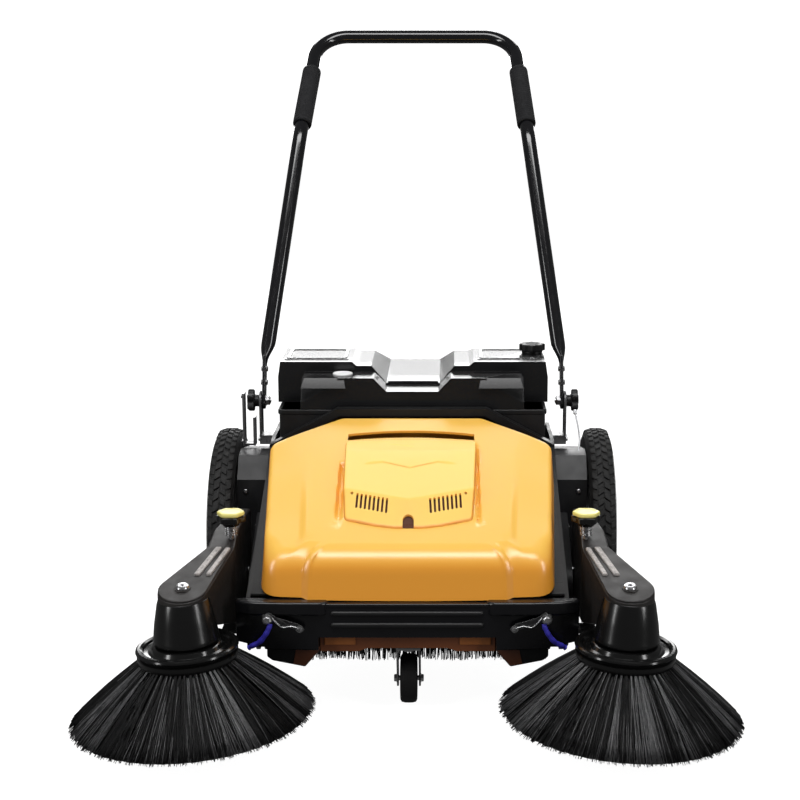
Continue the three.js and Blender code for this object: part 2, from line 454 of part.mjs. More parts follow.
// ---------------------------------------------------------------- hopper
const binOuter = [[HOPPER_Y0, HOPPER_Z0 + 30], [HOPPER_Y0 + 26, HOPPER_Z0], [HOPPER_Y1 - 46, HOPPER_Z0],
  [HOPPER_Y1 - 8, HOPPER_Z0 + 60], [HOPPER_Y1, LID_Z - GAP], [HOPPER_Y0, LID_Z - GAP]];
const binInner = [[HOPPER_Y0 + 3, HOPPER_Z0 + 32], [HOPPER_Y0 + 28, HOPPER_Z0 + 3], [HOPPER_Y1 - 48, HOPPER_Z0 + 3],
  [HOPPER_Y1 - 11, HOPPER_Z0 + 61], [HOPPER_Y1 - 3, LID_Z + 5], [HOPPER_Y0 + 3, LID_Z + 5]];
piece('hopper_bin', join([
  prismX(binOuter, -HOPPER_X, HOPPER_X),
  prismX([[HOPPER_Y1 - 4, 330], [HOPPER_Y1 + 22, 336], [HOPPER_Y1 + 26, 326], [HOPPER_Y1 + 30, 326],
    [HOPPER_Y1 + 30, 346], [HOPPER_Y1 - 2, 346]], -80, 80),
], [prismX(binInner, -HOPPER_X + 3, HOPPER_X - 3),
  box(-MOUTH.x + 5, MOUTH.x - 5, HOPPER_Y0 - 5, HOPPER_Y0 + 10, MOUTH.z0 + 4, MOUTH.z1)]), BLACK);

// lid: two flat wings with a lower shelf in front and a dip in the middle
const wingOutline = (k, z0) => {
  const h = [[234 - k, z0], [234 - k, 440 - k], [230 - k, WING_Z - k], [106 + k * 0.5, WING_Z - k],
    [98, 460 - k], [72 - k * 0.4, 460 - k], [46 - k * 0.4, DIP_Z - k]];
  return h.concat(h.slice().reverse().map(p => [-p[0], p[1]]));
};
const shelfOutline = (k, z0) => {
  const h = [[190 - k, z0], [190 - k, SHELF_Z - 6 - k], [186 - k, SHELF_Z - k], [66 - k * 0.4, SHELF_Z - k],
    [44 - k * 0.4, DIP_Z - 3 - k]];
  return h.concat(h.slice().reverse().map(p => [-p[0], p[1]]));
};
const facet = hull([[192, 440, 400], [192, 440, 470], [192, 500, 460], [150, 440, 424], [118, 440, 449],
  [118, 440, 470], [192, 500, 470], [140, 500, 470], [150, 440, 470], [192, 440, 424]]);
const rearCut = prismX([[650, WING_Z + 10], [650, WING_Z], [792, 414], [792, WING_Z + 10]], -250, 250);
const rearCutIn = prismX([[640, WING_Z + 10], [640, WING_Z - 4], [795, 408], [795, WING_Z + 10]], -250, 250);
const lidCavity = join([prismY(wingOutline(4, LID_Z - 5), 516, HOPPER_Y1 - 4),
  prismY(shelfOutline(4, LID_Z - 5), HOPPER_Y0 + 4, 530)],
[rearCutIn, hull([[194, 444, 396], [194, 444, 470], [194, 504, 456], [148, 444, 420], [112, 444, 445],
  [112, 444, 470], [194, 504, 470], [130, 504, 470], [194, 444, 420]]),
...mirrored([hull([[194, 444, 396], [194, 444, 470], [194, 504, 456], [148, 444, 420], [112, 444, 445],
  [112, 444, 470], [194, 504, 470], [130, 504, 470], [194, 444, 420]])])]);
const CAP_X = 211, CAP_Y = 606, PLUG_X = -120, PLUG_Y = 486;
piece('hopper_lid', join([prismY(wingOutline(0, LID_Z), 512, HOPPER_Y1), prismY(shelfOutline(0, LID_Z),
  HOPPER_Y0, 520)], [rearCut, facet, ...mirrored([facet]), lidCavity,
  rodZ(15.5, 440, 460, PLUG_X, PLUG_Y, 20), rodZ(13.3, 455, 475, CAP_X, CAP_Y, 14)]), BLACK);
piece('lid_plug', join([rodZ(15, 443, 452, PLUG_X, PLUG_Y, 20), rodZ(17, SHELF_Z + GAP, 453, PLUG_X, PLUG_Y, 20)]), PALE);
const lobes = [];
for (let i = 0; i < 24; i++) {
  const a = i * 15 * deg, r = 21.5 + 1.8 * Math.cos(6 * a);
  lobes.push([CAP_X + r * Math.cos(a), CAP_Y + r * Math.sin(a)]);
}
piece('hopper_cap', join([prismZ(lobes, WING_Z + 4, WING_Z + 17), rodZ(12.6, 458, WING_Z + 6, CAP_X, CAP_Y, 14),
  rodZ(18, WING_Z + GAP, WING_Z + 6, CAP_X, CAP_Y, 14)]), BLACK);

// ---------------------------------------------------------------- handle
const elbow = v3(205, 700, 847), bar = v3(184, 888, 1024);
const foot0 = v3(PIVOT_X, PIVOT_Y + 24, PIVOT_Z + 55);
const mirrorV = p => v3(-p.x, p.y, p.z);
const corners = filletPath([foot0, elbow, bar, mirrorV(bar), mirrorV(elbow), mirrorV(foot0)], [90, 62, 62, 90]);
const handlePts = corners.flatMap((p, i) => {       // extra points keep the straights straight
  const q = corners[i + 1], far = q && p.distanceTo(q) > 60;
  return far ? [p, p.clone().lerp(q, 0.06), p.clone().lerp(q, 0.94)] : [p];
});
const tongue = prismX([...circle(PIVOT_Y, PIVOT_Z, 14, 10, 195, 365), [PIVOT_Y + 38, PIVOT_Z + 62],
  [PIVOT_Y + 12, PIVOT_Z + 70]], PIVOT_X - 3, PIVOT_X + 3);
piece('handle_tube', join([polyTube(handlePts, TUBE_R, TUBE_R - 1.6), ...both([tongue])],
  both([rodX(4.4, 240, 275, PIVOT_Y, PIVOT_Z, 12)])), GLOSS);
const GRIP_FROM = 0.1, GRIP_TO = 0.64, GRIP_R = 17;
for (const side of ['left', 'right']) {
  const s = list => sided(side, list);
  const dir = bar.clone().sub(elbow), len = dir.length();
  dir.normalize();
  const a = elbow.clone().addScaledVector(dir, len * GRIP_FROM);
  const L = len * (GRIP_TO - GRIP_FROM);
  const g = turned([[TUBE_R + 0.9, 0], [GRIP_R - 2, 0], [GRIP_R, 4], [GRIP_R, L - 4], [GRIP_R - 2, L],
    [TUBE_R + 0.9, L]], 14);
  g.applyQuaternion(new THREE.Quaternion().setFromUnitVectors(v3(0, 1, 0), dir)).translate(a.x, a.y, a.z);
  piece(`${side}_grip`, join(s([g])), RUBBER);
  // fixed strap the handle end is clamped to, with its foot on the chassis side
  const strap = [...circle(PIVOT_Y, PIVOT_Z, 17, 10, 0, 180), [PIVOT_Y - 17, 326], [PIVOT_Y + 17, 326]];
  const STRAP_X = PIVOT_X + 3 + GAP;
  piece(`${side}_handle_bracket`, join(s([prismX(strap, STRAP_X, STRAP_X + 4),
    box(SIDE_OUT + GAP, STRAP_X + 1, PIVOT_Y - 17, PIVOT_Y + 17, 326, 342)]),
  s([rodX(4.4, 240, 275, PIVOT_Y, PIVOT_Z, 12), box(255, 280, PIVOT_Y - 3, PIVOT_Y + 3, 346, 378)])), PAINTED);
  const star = [];
  for (let i = 0; i < 20; i++) {
    const t = i * 18 * deg, r = 17 + 3.2 * Math.cos(5 * t);
    star.push([PIVOT_Y + r * Math.cos(t), PIVOT_Z + r * Math.sin(t)]);
  }
  piece(`${side}_handle_knob`, join(s([prismX(star, 274, 286), rodX(10, STRAP_X + 4 + GAP, 276, PIVOT_Y, PIVOT_Z, 16),
    rodX(4, 245, 275, PIVOT_Y, PIVOT_Z, 12), rodX(9, 246, PIVOT_X - 3 - GAP, PIVOT_Y, PIVOT_Z, 6)])), BLACK);
}
// slotted stay beside the left knob, stiff steel wire rod beside the right one
piece('left_stay', join([box(-295, -291, 494, 516, 322, 414), box(-277, -273, 494, 516, 322, 372),
  box(-295, -273, 494, 516, 322.6, 326)], [box(-300, -288, 501, 509, 334, 404)]), PAINTED);
const wirePath = new THREE.CatmullRomCurve3([v3(279, 470, 384), v3(284, 462, 360), v3(286, 456, 340),
  v3(283, 450, 325)]);
piece('right_wire', join([new THREE.ExtrudeGeometry(shapeOf(circle(0, 0, 2, 6)),
  { steps: 10, extrudePath: wirePath, bevelEnabled: false })]), STEEL);

// ---------------------------------------------------------------- put the origin under the middle
const bounds = new THREE.Box3();
for (const m of pieces) { m.geometry.computeBoundingBox(); bounds.union(m.geometry.boundingBox); }
const ORIGIN_STATION = (bounds.min.y + bounds.max.y) / 2;
for (const m of pieces) {
  m.geometry.translate(0, -ORIGIN_STATION, -bounds.min.z);
  m.geometry.computeVertexNormals();
}
group.userData.originStation = ORIGIN_STATION;
export default group;
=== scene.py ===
import bpy
import bmesh
import json
import math
import random
from contextlib import contextmanager
from mathutils import Matrix, Vector


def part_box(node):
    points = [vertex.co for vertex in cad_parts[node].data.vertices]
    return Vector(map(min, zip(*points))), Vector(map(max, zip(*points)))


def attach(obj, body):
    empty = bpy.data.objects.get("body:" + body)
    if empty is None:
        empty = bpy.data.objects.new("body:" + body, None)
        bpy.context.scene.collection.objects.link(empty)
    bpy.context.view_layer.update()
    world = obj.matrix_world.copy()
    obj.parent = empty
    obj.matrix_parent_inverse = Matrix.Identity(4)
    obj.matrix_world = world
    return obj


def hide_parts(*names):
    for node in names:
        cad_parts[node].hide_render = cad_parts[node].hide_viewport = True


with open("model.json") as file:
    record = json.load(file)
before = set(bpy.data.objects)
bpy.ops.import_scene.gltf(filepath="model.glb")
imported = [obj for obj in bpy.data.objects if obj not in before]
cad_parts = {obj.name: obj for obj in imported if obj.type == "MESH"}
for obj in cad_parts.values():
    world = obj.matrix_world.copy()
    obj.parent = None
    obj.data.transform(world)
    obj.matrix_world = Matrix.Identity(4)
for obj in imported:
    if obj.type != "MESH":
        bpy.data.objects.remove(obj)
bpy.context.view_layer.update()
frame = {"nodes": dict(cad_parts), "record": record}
rnd = random.Random(7)

# ------------------------------------------------------------------ sizes (millimetres)
# stations along the machine count from the side-brush centres, as in the CAD
WHEEL_ST = 520.0
tyre_lo, tyre_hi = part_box("left_tyre")
S0 = (tyre_lo.y + tyre_hi.y) / 2 - WHEEL_ST / 1000
WHEEL_Z = 172.0
BRUSH_X, BRUSH_Z = 314.0, 30.0
ROLLER_ST, ROLLER_Z, ROLLER_R = 310.0, 130.0, 124.0
CASTER_ST, CASTER_TRAIL, CASTER_R = 108.0, 22.0, 38.0
PIVOT_X, PIVOT_ST, PIVOT_Z = 258.0, 505.0, 400.0
KNOB_X, KNOB_ST = 272.0, 150.0
WING_Z = 467.0                                  # top of the lid on both sides of its dip
SLOPE = 130.0 / 345.0
SIDES = (("left", -1), ("right", 1))
UP = (0, 0, 1)
BRUSH_LEAN_OUT, BRUSH_LEAN_FORWARD = 3, 0.5     # degrees
HUB_TOP = 0.182                                 # along the brush axis, in metres


def P(x, st, z):
    return Vector((x / 1000, st / 1000 + S0, z / 1000))


def hood_z(st):
    return 260 + (st - 70) * SLOPE


def smooth01(t):
    t = min(1.0, max(0.0, t))
    return t * t * (3 - 2 * t)


# ------------------------------------------------------------------ materials
def surface(name, color, rough, metal=0.0, vary=0.1, vary_scale=9.0, rough_vary=0.1,
            grain=0.15, grain_scale=900.0, coat=0.0, wear=0.0, wear_color=None, dust=0.0, spec=0.5,
            steep=None, span=(0.25, 0.86)):
    """Two-tone material with grain, dust and worn edges; steep is a painted shade colour given to upright
    faces.
    """
    m = bpy.data.materials.new(name)
    m.use_nodes = True
    nt = m.node_tree
    nt.nodes.clear()
    out = nt.nodes.new("ShaderNodeOutputMaterial")
    bsdf = nt.nodes.new("ShaderNodeBsdfPrincipled")
    nt.links.new(bsdf.outputs[0], out.inputs[0])
    bsdf.inputs["Metallic"].default_value = metal
    bsdf.inputs["Specular IOR Level"].default_value = spec
    if coat:
        bsdf.inputs["Coat Weight"].default_value = coat
        bsdf.inputs["Coat Roughness"].default_value = 0.12
    tex = nt.nodes.new("ShaderNodeTexCoord")

    def noise(scale, detail=3.0, roughness=0.55):
        n = nt.nodes.new("ShaderNodeTexNoise")
        n.inputs["Scale"].default_value = scale
        n.inputs["Detail"].default_value = detail
        n.inputs["Roughness"].default_value = roughness
        nt.links.new(tex.outputs["Object"], n.inputs["Vector"])
        return n.outputs["Fac"]

    def remap(value, a, b, c, d):
        r = nt.nodes.new("ShaderNodeMapRange")
        for i, x in enumerate((a, b, c, d)):
            r.inputs[i + 1].default_value = x
        nt.links.new(value, r.inputs[0])
        return r.outputs[0]

    def mix(fac, a, b):
        x = nt.nodes.new("ShaderNodeMix")
        x.data_type = "RGBA"
        nt.links.new(fac, x.inputs[0])
        for sock, v in ((x.inputs[6], a), (x.inputs[7], b)):
            if isinstance(v, bpy.types.NodeSocket):
                nt.links.new(v, sock)
            else:
                sock.default_value = (*v, 1)
        return x.outputs[2]

    dark = tuple(c * (1 - vary) for c in color)
    light = tuple(min(1, c * (1 + vary)) for c in color)
    base = mix(remap(noise(vary_scale), 0.3, 0.7, 0, 1), dark, light)
    fine = noise(grain_scale * 0.35, 2.0)
    base = mix(remap(fine, 0.35, 0.75, 0, 0.35), base, light)
    if steep:                   # painted shade: upright faces take a deeper colour than the ones that look up
        split = nt.nodes.new("ShaderNodeSeparateXYZ")
        nt.links.new(tex.outputs["Normal"], split.inputs[0])
        base = mix(remap(split.outputs["Z"], *span, 0, 1), steep, base)
    if dust:
        grey = (0.45, 0.43, 0.40)
        base = mix(remap(noise(vary_scale * 3, 6.0, 0.7), 0.5, 0.85, 0, dust), base, grey)
    if wear:
        geo = nt.nodes.new("ShaderNodeNewGeometry")
        edge = remap(geo.outputs["Pointiness"], 0.515, 0.60, 0, wear)
        base = mix(edge, base, wear_color)
    nt.links.new(base, bsdf.inputs["Base Color"])
    r = remap(noise(vary_scale * 5, 4.0), 0.25, 0.75, max(0.03, rough - rough_vary), rough + rough_vary)
    nt.links.new(r, bsdf.inputs["Roughness"])
    if grain:
        bump = nt.nodes.new("ShaderNodeBump")
        bump.inputs["Strength"].default_value = grain
        bump.inputs["Distance"].default_value = 0.0006
        nt.links.new(noise(grain_scale, 4.0, 0.6), bump.inputs["Height"])
        nt.links.new(bump.outputs[0], bsdf.inputs["Normal"])
    return m


M = {
    # steep on the orange plastics: painted shade, a deeper orange on their upright faces
    "orange": surface("hood_orange", (0.90, 0.52, 0.085), 0.29, vary=0.02, vary_scale=6, rough_vary=0.012,
        spec=0.9, grain=0.03, grain_scale=1100, steep=(0.88, 0.36, 0.035)),
    "orange_light": surface("panel_orange", (0.93, 0.60, 0.12), 0.42, vary=0.02, vary_scale=6,
        rough_vary=0.012, grain=0.03, grain_scale=1100, steep=(0.78, 0.31, 0.045), span=(0.58, 0.82)),
    # painted shade: a dark orange-brown for the inside of the vent seen through the louvres
    "louvre_shade": surface("vent_painted_shade", (0.09, 0.025, 0.008), 0.7, vary=0.2, grain=0.2),
    # orange plastic with painted shade in three depths, for the skirt, its pads, the slot pocket and the
    # bumper feet
    "skirt": surface("orange_skirt_in_shade", (0.40, 0.13, 0.03), 0.5, vary=0.12, grain=0.05),
    "shaded_orange_mid": surface("orange_mid_painted_shade", (0.21, 0.065, 0.022), 0.5, vary=0.2, grain=0.05),
    "shaded_orange_deep": surface("orange_deep_painted_shade", (0.11, 0.034, 0.013), 0.45, vary=0.25, grain=0.06),
    "body": surface("body_black", (0.006, 0.006, 0.0065), 0.42, vary=0.3, rough_vary=0.08, grain=0.1,
        grain_scale=700, wear=0.15, wear_color=(0.06, 0.06, 0.06), dust=0.01, spec=0.35),
    "bumper": surface("bumper_black", (0.004, 0.004, 0.005), 0.24, vary=0.25, rough_vary=0.04, grain=0.02,
        grain_scale=500, spec=0.42),
    "lid": surface("lid_black", (0.006, 0.006, 0.0065), 0.25, vary=0.25, rough_vary=0.012, grain=0.015,
        grain_scale=800, spec=0.55),
    "arm": surface("arm_black", (0.010, 0.0085, 0.008), 0.48, vary=0.3, grain=0.35, grain_scale=520,
        wear=0.25, wear_color=(0.09, 0.08, 0.075), dust=0.015, spec=0.4),
    "gloss": surface("gloss_black", (0.004, 0.004, 0.004), 0.16, vary=0.2, rough_vary=0.03, grain=0.0,
        spec=0.5),
    "cone": surface("cone_black", (0.004, 0.004, 0.004), 0.22, vary=0.2, rough_vary=0.03, grain=0.0),
    # light grey rib colour: painted highlight along the raised ribs of the arm covers
    "rib": surface("rib_painted_highlight", (0.34, 0.315, 0.30), 0.5, vary=0.55, vary_scale=260, grain=0.3),
    "tyre": surface("tyre_rubber", (0.010, 0.010, 0.010), 0.7, vary=0.3, grain=0.35, grain_scale=420,
        dust=0.05, spec=0.35),
    "rubber": surface("belt_rubber", (0.010, 0.010, 0.010), 0.65, vary=0.25, grain=0.25, spec=0.35),
    "foam": surface("grip_foam", (0.008, 0.008, 0.009), 0.85, vary=0.3, grain=0.7, grain_scale=620,
        spec=0.3),
    "tube": surface("tube_paint", (0.004, 0.004, 0.005), 0.14, vary=0.2, rough_vary=0.03, grain=0.0,
        coat=0.4),
    "strap": surface("strap_paint", (0.02, 0.02, 0.021), 0.3, metal=0.4, vary=0.25, grain=0.08, wear=0.5,
        wear_color=(0.35, 0.35, 0.36)),
    "steel": surface("zinc_steel", (0.55, 0.55, 0.56), 0.28, metal=1.0, vary=0.12, vary_scale=60,
        rough_vary=0.08, grain=0.03, grain_scale=300, dust=0.04),
    "darksteel": surface("fork_steel", (0.045, 0.045, 0.047), 0.28, metal=0.8, vary=0.25, vary_scale=40,
        grain=0.03, wear=0.6, wear_color=(0.6, 0.6, 0.6)),
    "wire": surface("wire_zinc", (0.75, 0.76, 0.78), 0.35, metal=0.6, vary=0.1, grain=0.03),
    "yellow": surface("knob_yellow", (0.80, 0.72, 0.22), 0.4, vary=0.06, grain=0.05, coat=0.1),
    "blue": surface("sleeve_blue", (0.03, 0.025, 0.33), 0.4, vary=0.15, grain=0.03),
    "pale": surface("pale_plastic", (0.85, 0.85, 0.85), 0.35, vary=0.03, grain=0.03),
    "guard": surface("guard_black", (0.012, 0.012, 0.013), 0.42, vary=0.2, rough_vary=0.05, grain=0.03,
        grain_scale=600, dust=0.02, spec=0.3),
    "bristle": surface("bristle_black", (0.003, 0.003, 0.0033), 0.5, vary=0.6, vary_scale=220,
        rough_vary=0.1, grain=0.0, spec=0.22),
    # lighter grey fibres: painted sheen, for the lit streaks among the black bristles
    "bristle_sheen": surface("bristle_sheen", (0.05, 0.05, 0.052), 0.38, vary=0.5, vary_scale=180,
        grain=0.0, spec=0.6),
    "core": surface("roller_core", (0.03, 0.03, 0.03), 0.5, vary=0.2, grain=0.1),
}


# ------------------------------------------------------------------ mesh helpers
def link(name, data):
    o = bpy.data.objects.new(name, data)
    bpy.context.scene.collection.objects.link(o)
    return o


@contextmanager
def editing(me):
    """The mesh as a bmesh, written back at the end."""
    bm = bmesh.new()
    bm.from_mesh(me)
    yield bm
    bm.to_mesh(me)
    bm.free()


def obj_from(name, verts, faces):
    me = bpy.data.meshes.new(name)
    me.from_pydata([tuple(v) for v in verts], [], faces)
    me.update()
    return link(name, me)


def obj_from_bm(name, bm):
    me = bpy.data.meshes.new(name)
    bm.to_mesh(me)
    bm.free()
    return link(name, me)


def bake(o):
    dg = bpy.context.evaluated_depsgraph_get()
    me = bpy.data.meshes.new_from_object(o.evaluated_get(dg))
    o.modifiers.clear()
    o.data = me
    return o


def fix_normals(o):
    with editing(o.data) as bm:
        bmesh.ops.recalc_face_normals(bm, faces=bm.faces)
    return o


def shade(o, angle=35):
    """Smooth shading, with edges sharper than the angle kept hard."""
    with editing(o.data) as bm:
        for f in bm.faces:
            f.smooth = True
        for e in bm.edges:
            e.smooth = len(e.link_faces) == 2 and e.calc_face_angle(0) < math.radians(angle)
    return o


def bevel(o, width, segs=3, angle=28):
    """Rounded edges; width in millimetres."""
    b = o.modifiers.new("bevel", "BEVEL")
    b.width = width / 1000
    b.segments = segs
    b.limit_method = "ANGLE"
    b.angle_limit = math.radians(angle)
    b.use_clamp_overlap = True
    bake(o)
    shade(o, 50)
    o.modifiers.new("wn", "WEIGHTED_NORMAL").keep_sharp = True
    return bake(o)


def cut(o, *tools):
    for t in tools:
        b = o.modifiers.new("bool", "BOOLEAN")
        b.operation = "DIFFERENCE"
        b.solver = "EXACT"
        b.object = t
        bake(o)
        bpy.data.objects.remove(t)
    return o


def join(name, objs):
    bm = bmesh.new()
    mats = []
    for o in objs:
        off = len(mats)
        own = list(o.data.materials) or [None]
        start = len(bm.faces)
        bm.from_mesh(o.data)
        bm.faces.ensure_lookup_table()
        for f in bm.faces[start:]:
            f.material_index += off
        mats += own
    for o in objs:
        bpy.data.objects.remove(o)
    r = obj_from_bm(name, bm)
    for m in mats:
        r.data.materials.append(m)
    return r


def paint(o, mat):
    o.data.materials.clear()
    o.data.materials.append(M[mat])
    return o


def paint_all(objs, mat):
    return [paint(o, mat) for o in objs]


def put(o, body, slot, *nodes):
    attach(o, body)
    if nodes:
        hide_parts(*nodes)
    return o


def prism(name, pts, plane, a, b):
    """Closed solid from an outline in millimetres; plane says which way it is swept."""
    at = {"X": lambda p, q, w: P(w, p, q),
          "Y": lambda p, q, w: P(p, w, q),
          "Z": lambda p, q, w: P(p, q, w)}[plane]
    n = len(pts)
    verts = [at(*p, w) for w in (a, b) for p in pts]
    faces = [list(range(n))[::-1], list(range(n, 2 * n))]
    faces += [[i, (i + 1) % n, n + (i + 1) % n, n + i] for i in range(n)]
    return fix_normals(obj_from(name, verts, faces))


def hull(name, pts):
    bm = bmesh.new()
    for p in pts:
        bm.verts.new(P(*p))
    r = bmesh.ops.convex_hull(bm, input=bm.verts)
    bmesh.ops.delete(bm, geom=[v for v in bm.verts if not v.link_faces], context="VERTS")
    bmesh.ops.dissolve_limit(bm, angle_limit=math.radians(1.5), verts=bm.verts, edges=bm.edges)
    return obj_from_bm(name, bm)


def frame_on(axis):
    z = Vector(axis).normalized()
    x = z.orthogonal().normalized()
    return x, z.cross(x), z


def lathe(name, profile, centre, axis=(0, 0, 1), seg=64, closed=False):
    """Turned body: profile of (radius, height) in millimetres about an axis through centre."""
    x, y, z = frame_on(axis)
    verts, rings = [], []
    for r, h in profile:
        base = centre + z * (h / 1000)
        if r <= 1e-6:
            rings.append([len(verts)])
            verts.append(base)
        else:
            rings.append(list(range(len(verts), len(verts) + seg)))
            for i in range(seg):
                a = 2 * math.pi * i / seg
                verts.append(base + (x * math.cos(a) + y * math.sin(a)) * (r / 1000))
    faces = []
    pairs = list(zip(rings, rings[1:])) + ([(rings[-1], rings[0])] if closed else [])
    for a, b in pairs:
        for i in range(seg):
            j = (i + 1) % seg
            if len(a) == 1 and len(b) == 1:
                break
            if len(a) == 1:
                faces.append([a[0], b[j], b[i]])
            elif len(b) == 1:
                faces.append([a[i], a[j], b[0]])
            else:
                faces.append([a[i], a[j], b[j], b[i]])
    return fix_normals(obj_from(name, verts, faces))


def tube(name, pts, r, seg=12, radii=None):
    """Swept round section along points in metres; radii gives its size at each point."""
    n = len(pts)
    tang = []
    for i in range(n):
        tang.append((pts[min(i + 1, n - 1)] - pts[max(i - 1, 0)]).normalized())
    up = tang[0].orthogonal().normalized()
    verts, faces = [], []
    for i in range(n):
        up = (up - tang[i] * up.dot(tang[i])).normalized()
        side = tang[i].cross(up)
        rr = (radii[i] if radii else r) / 1000
        for k in range(seg):
            a = 2 * math.pi * k / seg
            verts.append(pts[i] + up * math.cos(a) * rr + side * math.sin(a) * rr)
    for i in range(n - 1):
        for k in range(seg):
            a, b = i * seg + k, i * seg + (k + 1) % seg
            faces.append([a, b, b + seg, a + seg])
    faces += [list(range(seg))[::-1], list(range((n - 1) * seg, n * seg))]
    return fix_normals(obj_from(name, verts, faces))


def curve_through(pts, per):
    """Catmull-Rom samples through points in metres."""
    out, n = [], len(pts)
    for i in range(n - 1):
        p0, p1, p2, p3 = pts[max(i - 1, 0)], pts[i], pts[i + 1], pts[min(i + 2, n - 1)]
        for k in range(per):
            t = k / per
            out.append(0.5 * ((2 * p1) + (p2 - p0) * t + (2 * p0 - 5 * p1 + 4 * p2 - p3) * t * t
                              + (3 * p1 - p0 - 3 * p2 + p3) * t ** 3))
    return out + [pts[-1]]


def fillet(pts, radii, step=4.0):
    """Polyline in metres with its inner corners rounded."""
    out = [pts[0]]
    for i in range(1, len(pts) - 1):
        p, r = pts[i], radii[i - 1] / 1000
        a, b = (pts[i - 1] - p).normalized(), (pts[i + 1] - p).normalized()
        half = math.acos(max(-1, min(1, a.dot(b)))) / 2
        t = r / math.tan(half)
        c = p + (a + b).normalized() * (r / math.sin(half))
        u, w = (p + a * t - c).normalized(), (p + b * t - c).normalized()
        full = math.acos(max(-1, min(1, u.dot(w))))
        n = max(4, int(full * radii[i - 1] / step))
        for k in range(n + 1):
            f = full * k / n
            d = (u * math.sin(full - f) + w * math.sin(f)) / math.sin(full)
            out.append(c + d * r)
    return out + [pts[-1]]


def arc(cx, cy, r, a0, a1, n):
    return [(cx + r * math.cos(math.radians(a0 + (a1 - a0) * i / n)),
             cy + r * math.sin(math.radians(a0 + (a1 - a0) * i / n))) for i in range(n + 1)]


def circle(cx, cy, r, n=32):
    return arc(cx, cy, r, 0, 360, n)[:-1]


def round_corners(pts, radii, n=5):
    """2-D outline with rounded corners."""
    out, m = [], len(pts)
    for i in range(m):
        p, a, b = (Vector((*q, 0)) for q in (pts[i], pts[i - 1], pts[(i + 1) % m]))
        r = radii[i] if isinstance(radii, (list, tuple)) else radii
        u, w = (a - p), (b - p)
        lim = min(u.length, w.length) * 0.49
        u, w = u.normalized(), w.normalized()
        half = math.acos(max(-1, min(1, u.dot(w)))) / 2
        t = min(r / math.tan(half), lim) if half > 1e-3 else 0
        s, e = p + u * t, p + w * t
        for k in range(n + 1):
            f = k / n
            q = s * (1 - f) ** 2 + p * 2 * f * (1 - f) + e * f * f
            out.append((q.x, q.y))
    return out


def dense(outline, step):
    out, n = [], len(outline)
    for i in range(n):
        (x0, y0), (x1, y1) = outline[i], outline[(i + 1) % n]
        k = max(1, int(math.hypot(x1 - x0, y1 - y0) / step))
        out += [(x0 + (x1 - x0) * j / k, y0 + (y1 - y0) * j / k) for j in range(k)]
    return out


def moulded(name, pts, centre, z_low, z_top, edge_at, thick, rings, lean):
    """Shell with a curved top: wall from the outline's lower rim, rounded edge, then the top surface.
    z_low, z_top and edge_at give heights and the edge radius for (x, station); thick is the wall."""
    n = len(pts)
    area = sum(pts[i][0] * pts[(i + 1) % n][1] - pts[(i + 1) % n][0] * pts[i][1] for i in range(n))
    turn = 1 if area > 0 else -1
    inward = []                 # step towards the centre that moves the wall in by one millimetre
    for i in range(n):
        (ax, ay), (bx, by) = pts[i - 1], pts[(i + 1) % n]
        normal = (Vector((-(by - ay), bx - ax)) * turn).normalized()
        reach = Vector((centre[0] - pts[i][0], centre[1] - pts[i][1]))
        inward.append(reach / max(reach.dot(normal), 0.5 * reach.length))
    rows = []
    for k in range(4):
        f = k / 4
        rows.append([(x + inward[i].x * lean * f, y + inward[i].y * lean * f,
                      z_low(x, y) + (z_top(x, y) - edge_at(x, y) - z_low(x, y)) * f)
                     for i, (x, y) in enumerate(pts)])
    for k in range(7):
        f = k / 6
        row = []
        for i, (x, y) in enumerate(pts):
            xw, yw = x + inward[i].x * lean, y + inward[i].y * lean
            e = edge_at(x, y)
            xi, yi = xw + inward[i].x * e, yw + inward[i].y * e
            a, c, b = z_top(xw, yw) - e, z_top(xw, yw), z_top(xi, yi)
            row.append((xw * (1 - f) ** 2 + 2 * xw * f * (1 - f) + xi * f * f,
                        yw * (1 - f) ** 2 + 2 * yw * f * (1 - f) + yi * f * f,
                        a * (1 - f) ** 2 + 2 * c * f * (1 - f) + b * f * f))
        rows.append(row)
    inner = rows[-1]
    for k in range(1, rings):
        f = k / rings
        rows.append([(x + (centre[0] - x) * f, y + (centre[1] - y) * f,
                      z_top(x + (centre[0] - x) * f, y + (centre[1] - y) * f)) for x, y, _ in inner])
    verts = [P(*q) for row in rows for q in row] + [P(centre[0], centre[1], z_top(*centre))]
    faces = []
    for r in range(len(rows) - 1):
        for i in range(n):
            j = (i + 1) % n
            faces.append([r * n + i, r * n + j, (r + 1) * n + j, (r + 1) * n + i])
    last = (len(rows) - 1) * n
    faces += [[last + i, last + (i + 1) % n, len(verts) - 1] for i in range(n)]
    o = fix_normals(obj_from(name, verts, faces))
    if o.data.polygons[-1].normal.z < 0:
        o.data.flip_normals()
    s = o.modifiers.new("solid", "SOLIDIFY")
    s.thickness = thick / 1000
    s.offset = -1
    return shade(bake(o), 40)


BOX_FACES = ((0, 1, 3, 2), (4, 6, 7, 5), (0, 4, 5, 1), (2, 3, 7, 6), (0, 2, 6, 4), (1, 5, 7, 3))


def bar_on(c, x, y, z, lx, ly, lz):
    """Small box on three directions of its own, centred on c."""
    v = [c + x * (sx * lx / 2000) + y * (sy * ly / 2000) + z * (sz * lz / 1000)
         for sx in (-1, 1) for sy in (-1, 1) for sz in (-1, 1)]
    return fix_normals(obj_from("bar", v, BOX_FACES))


def slab(pts, plane, a, b, mat, width, segs=3, angle=28):
    """Painted prism with rounded edges, to be joined into a piece."""
    return paint(bevel(prism("slab", pts, plane, a, b), width, segs, angle), mat)


def turned(name, profile, centre, axis, seg, mat, angle=30, closed=False):
    """Painted and shaded turned part."""
    return paint(shade(lathe(name, profile, centre, axis, seg, closed), angle), mat)


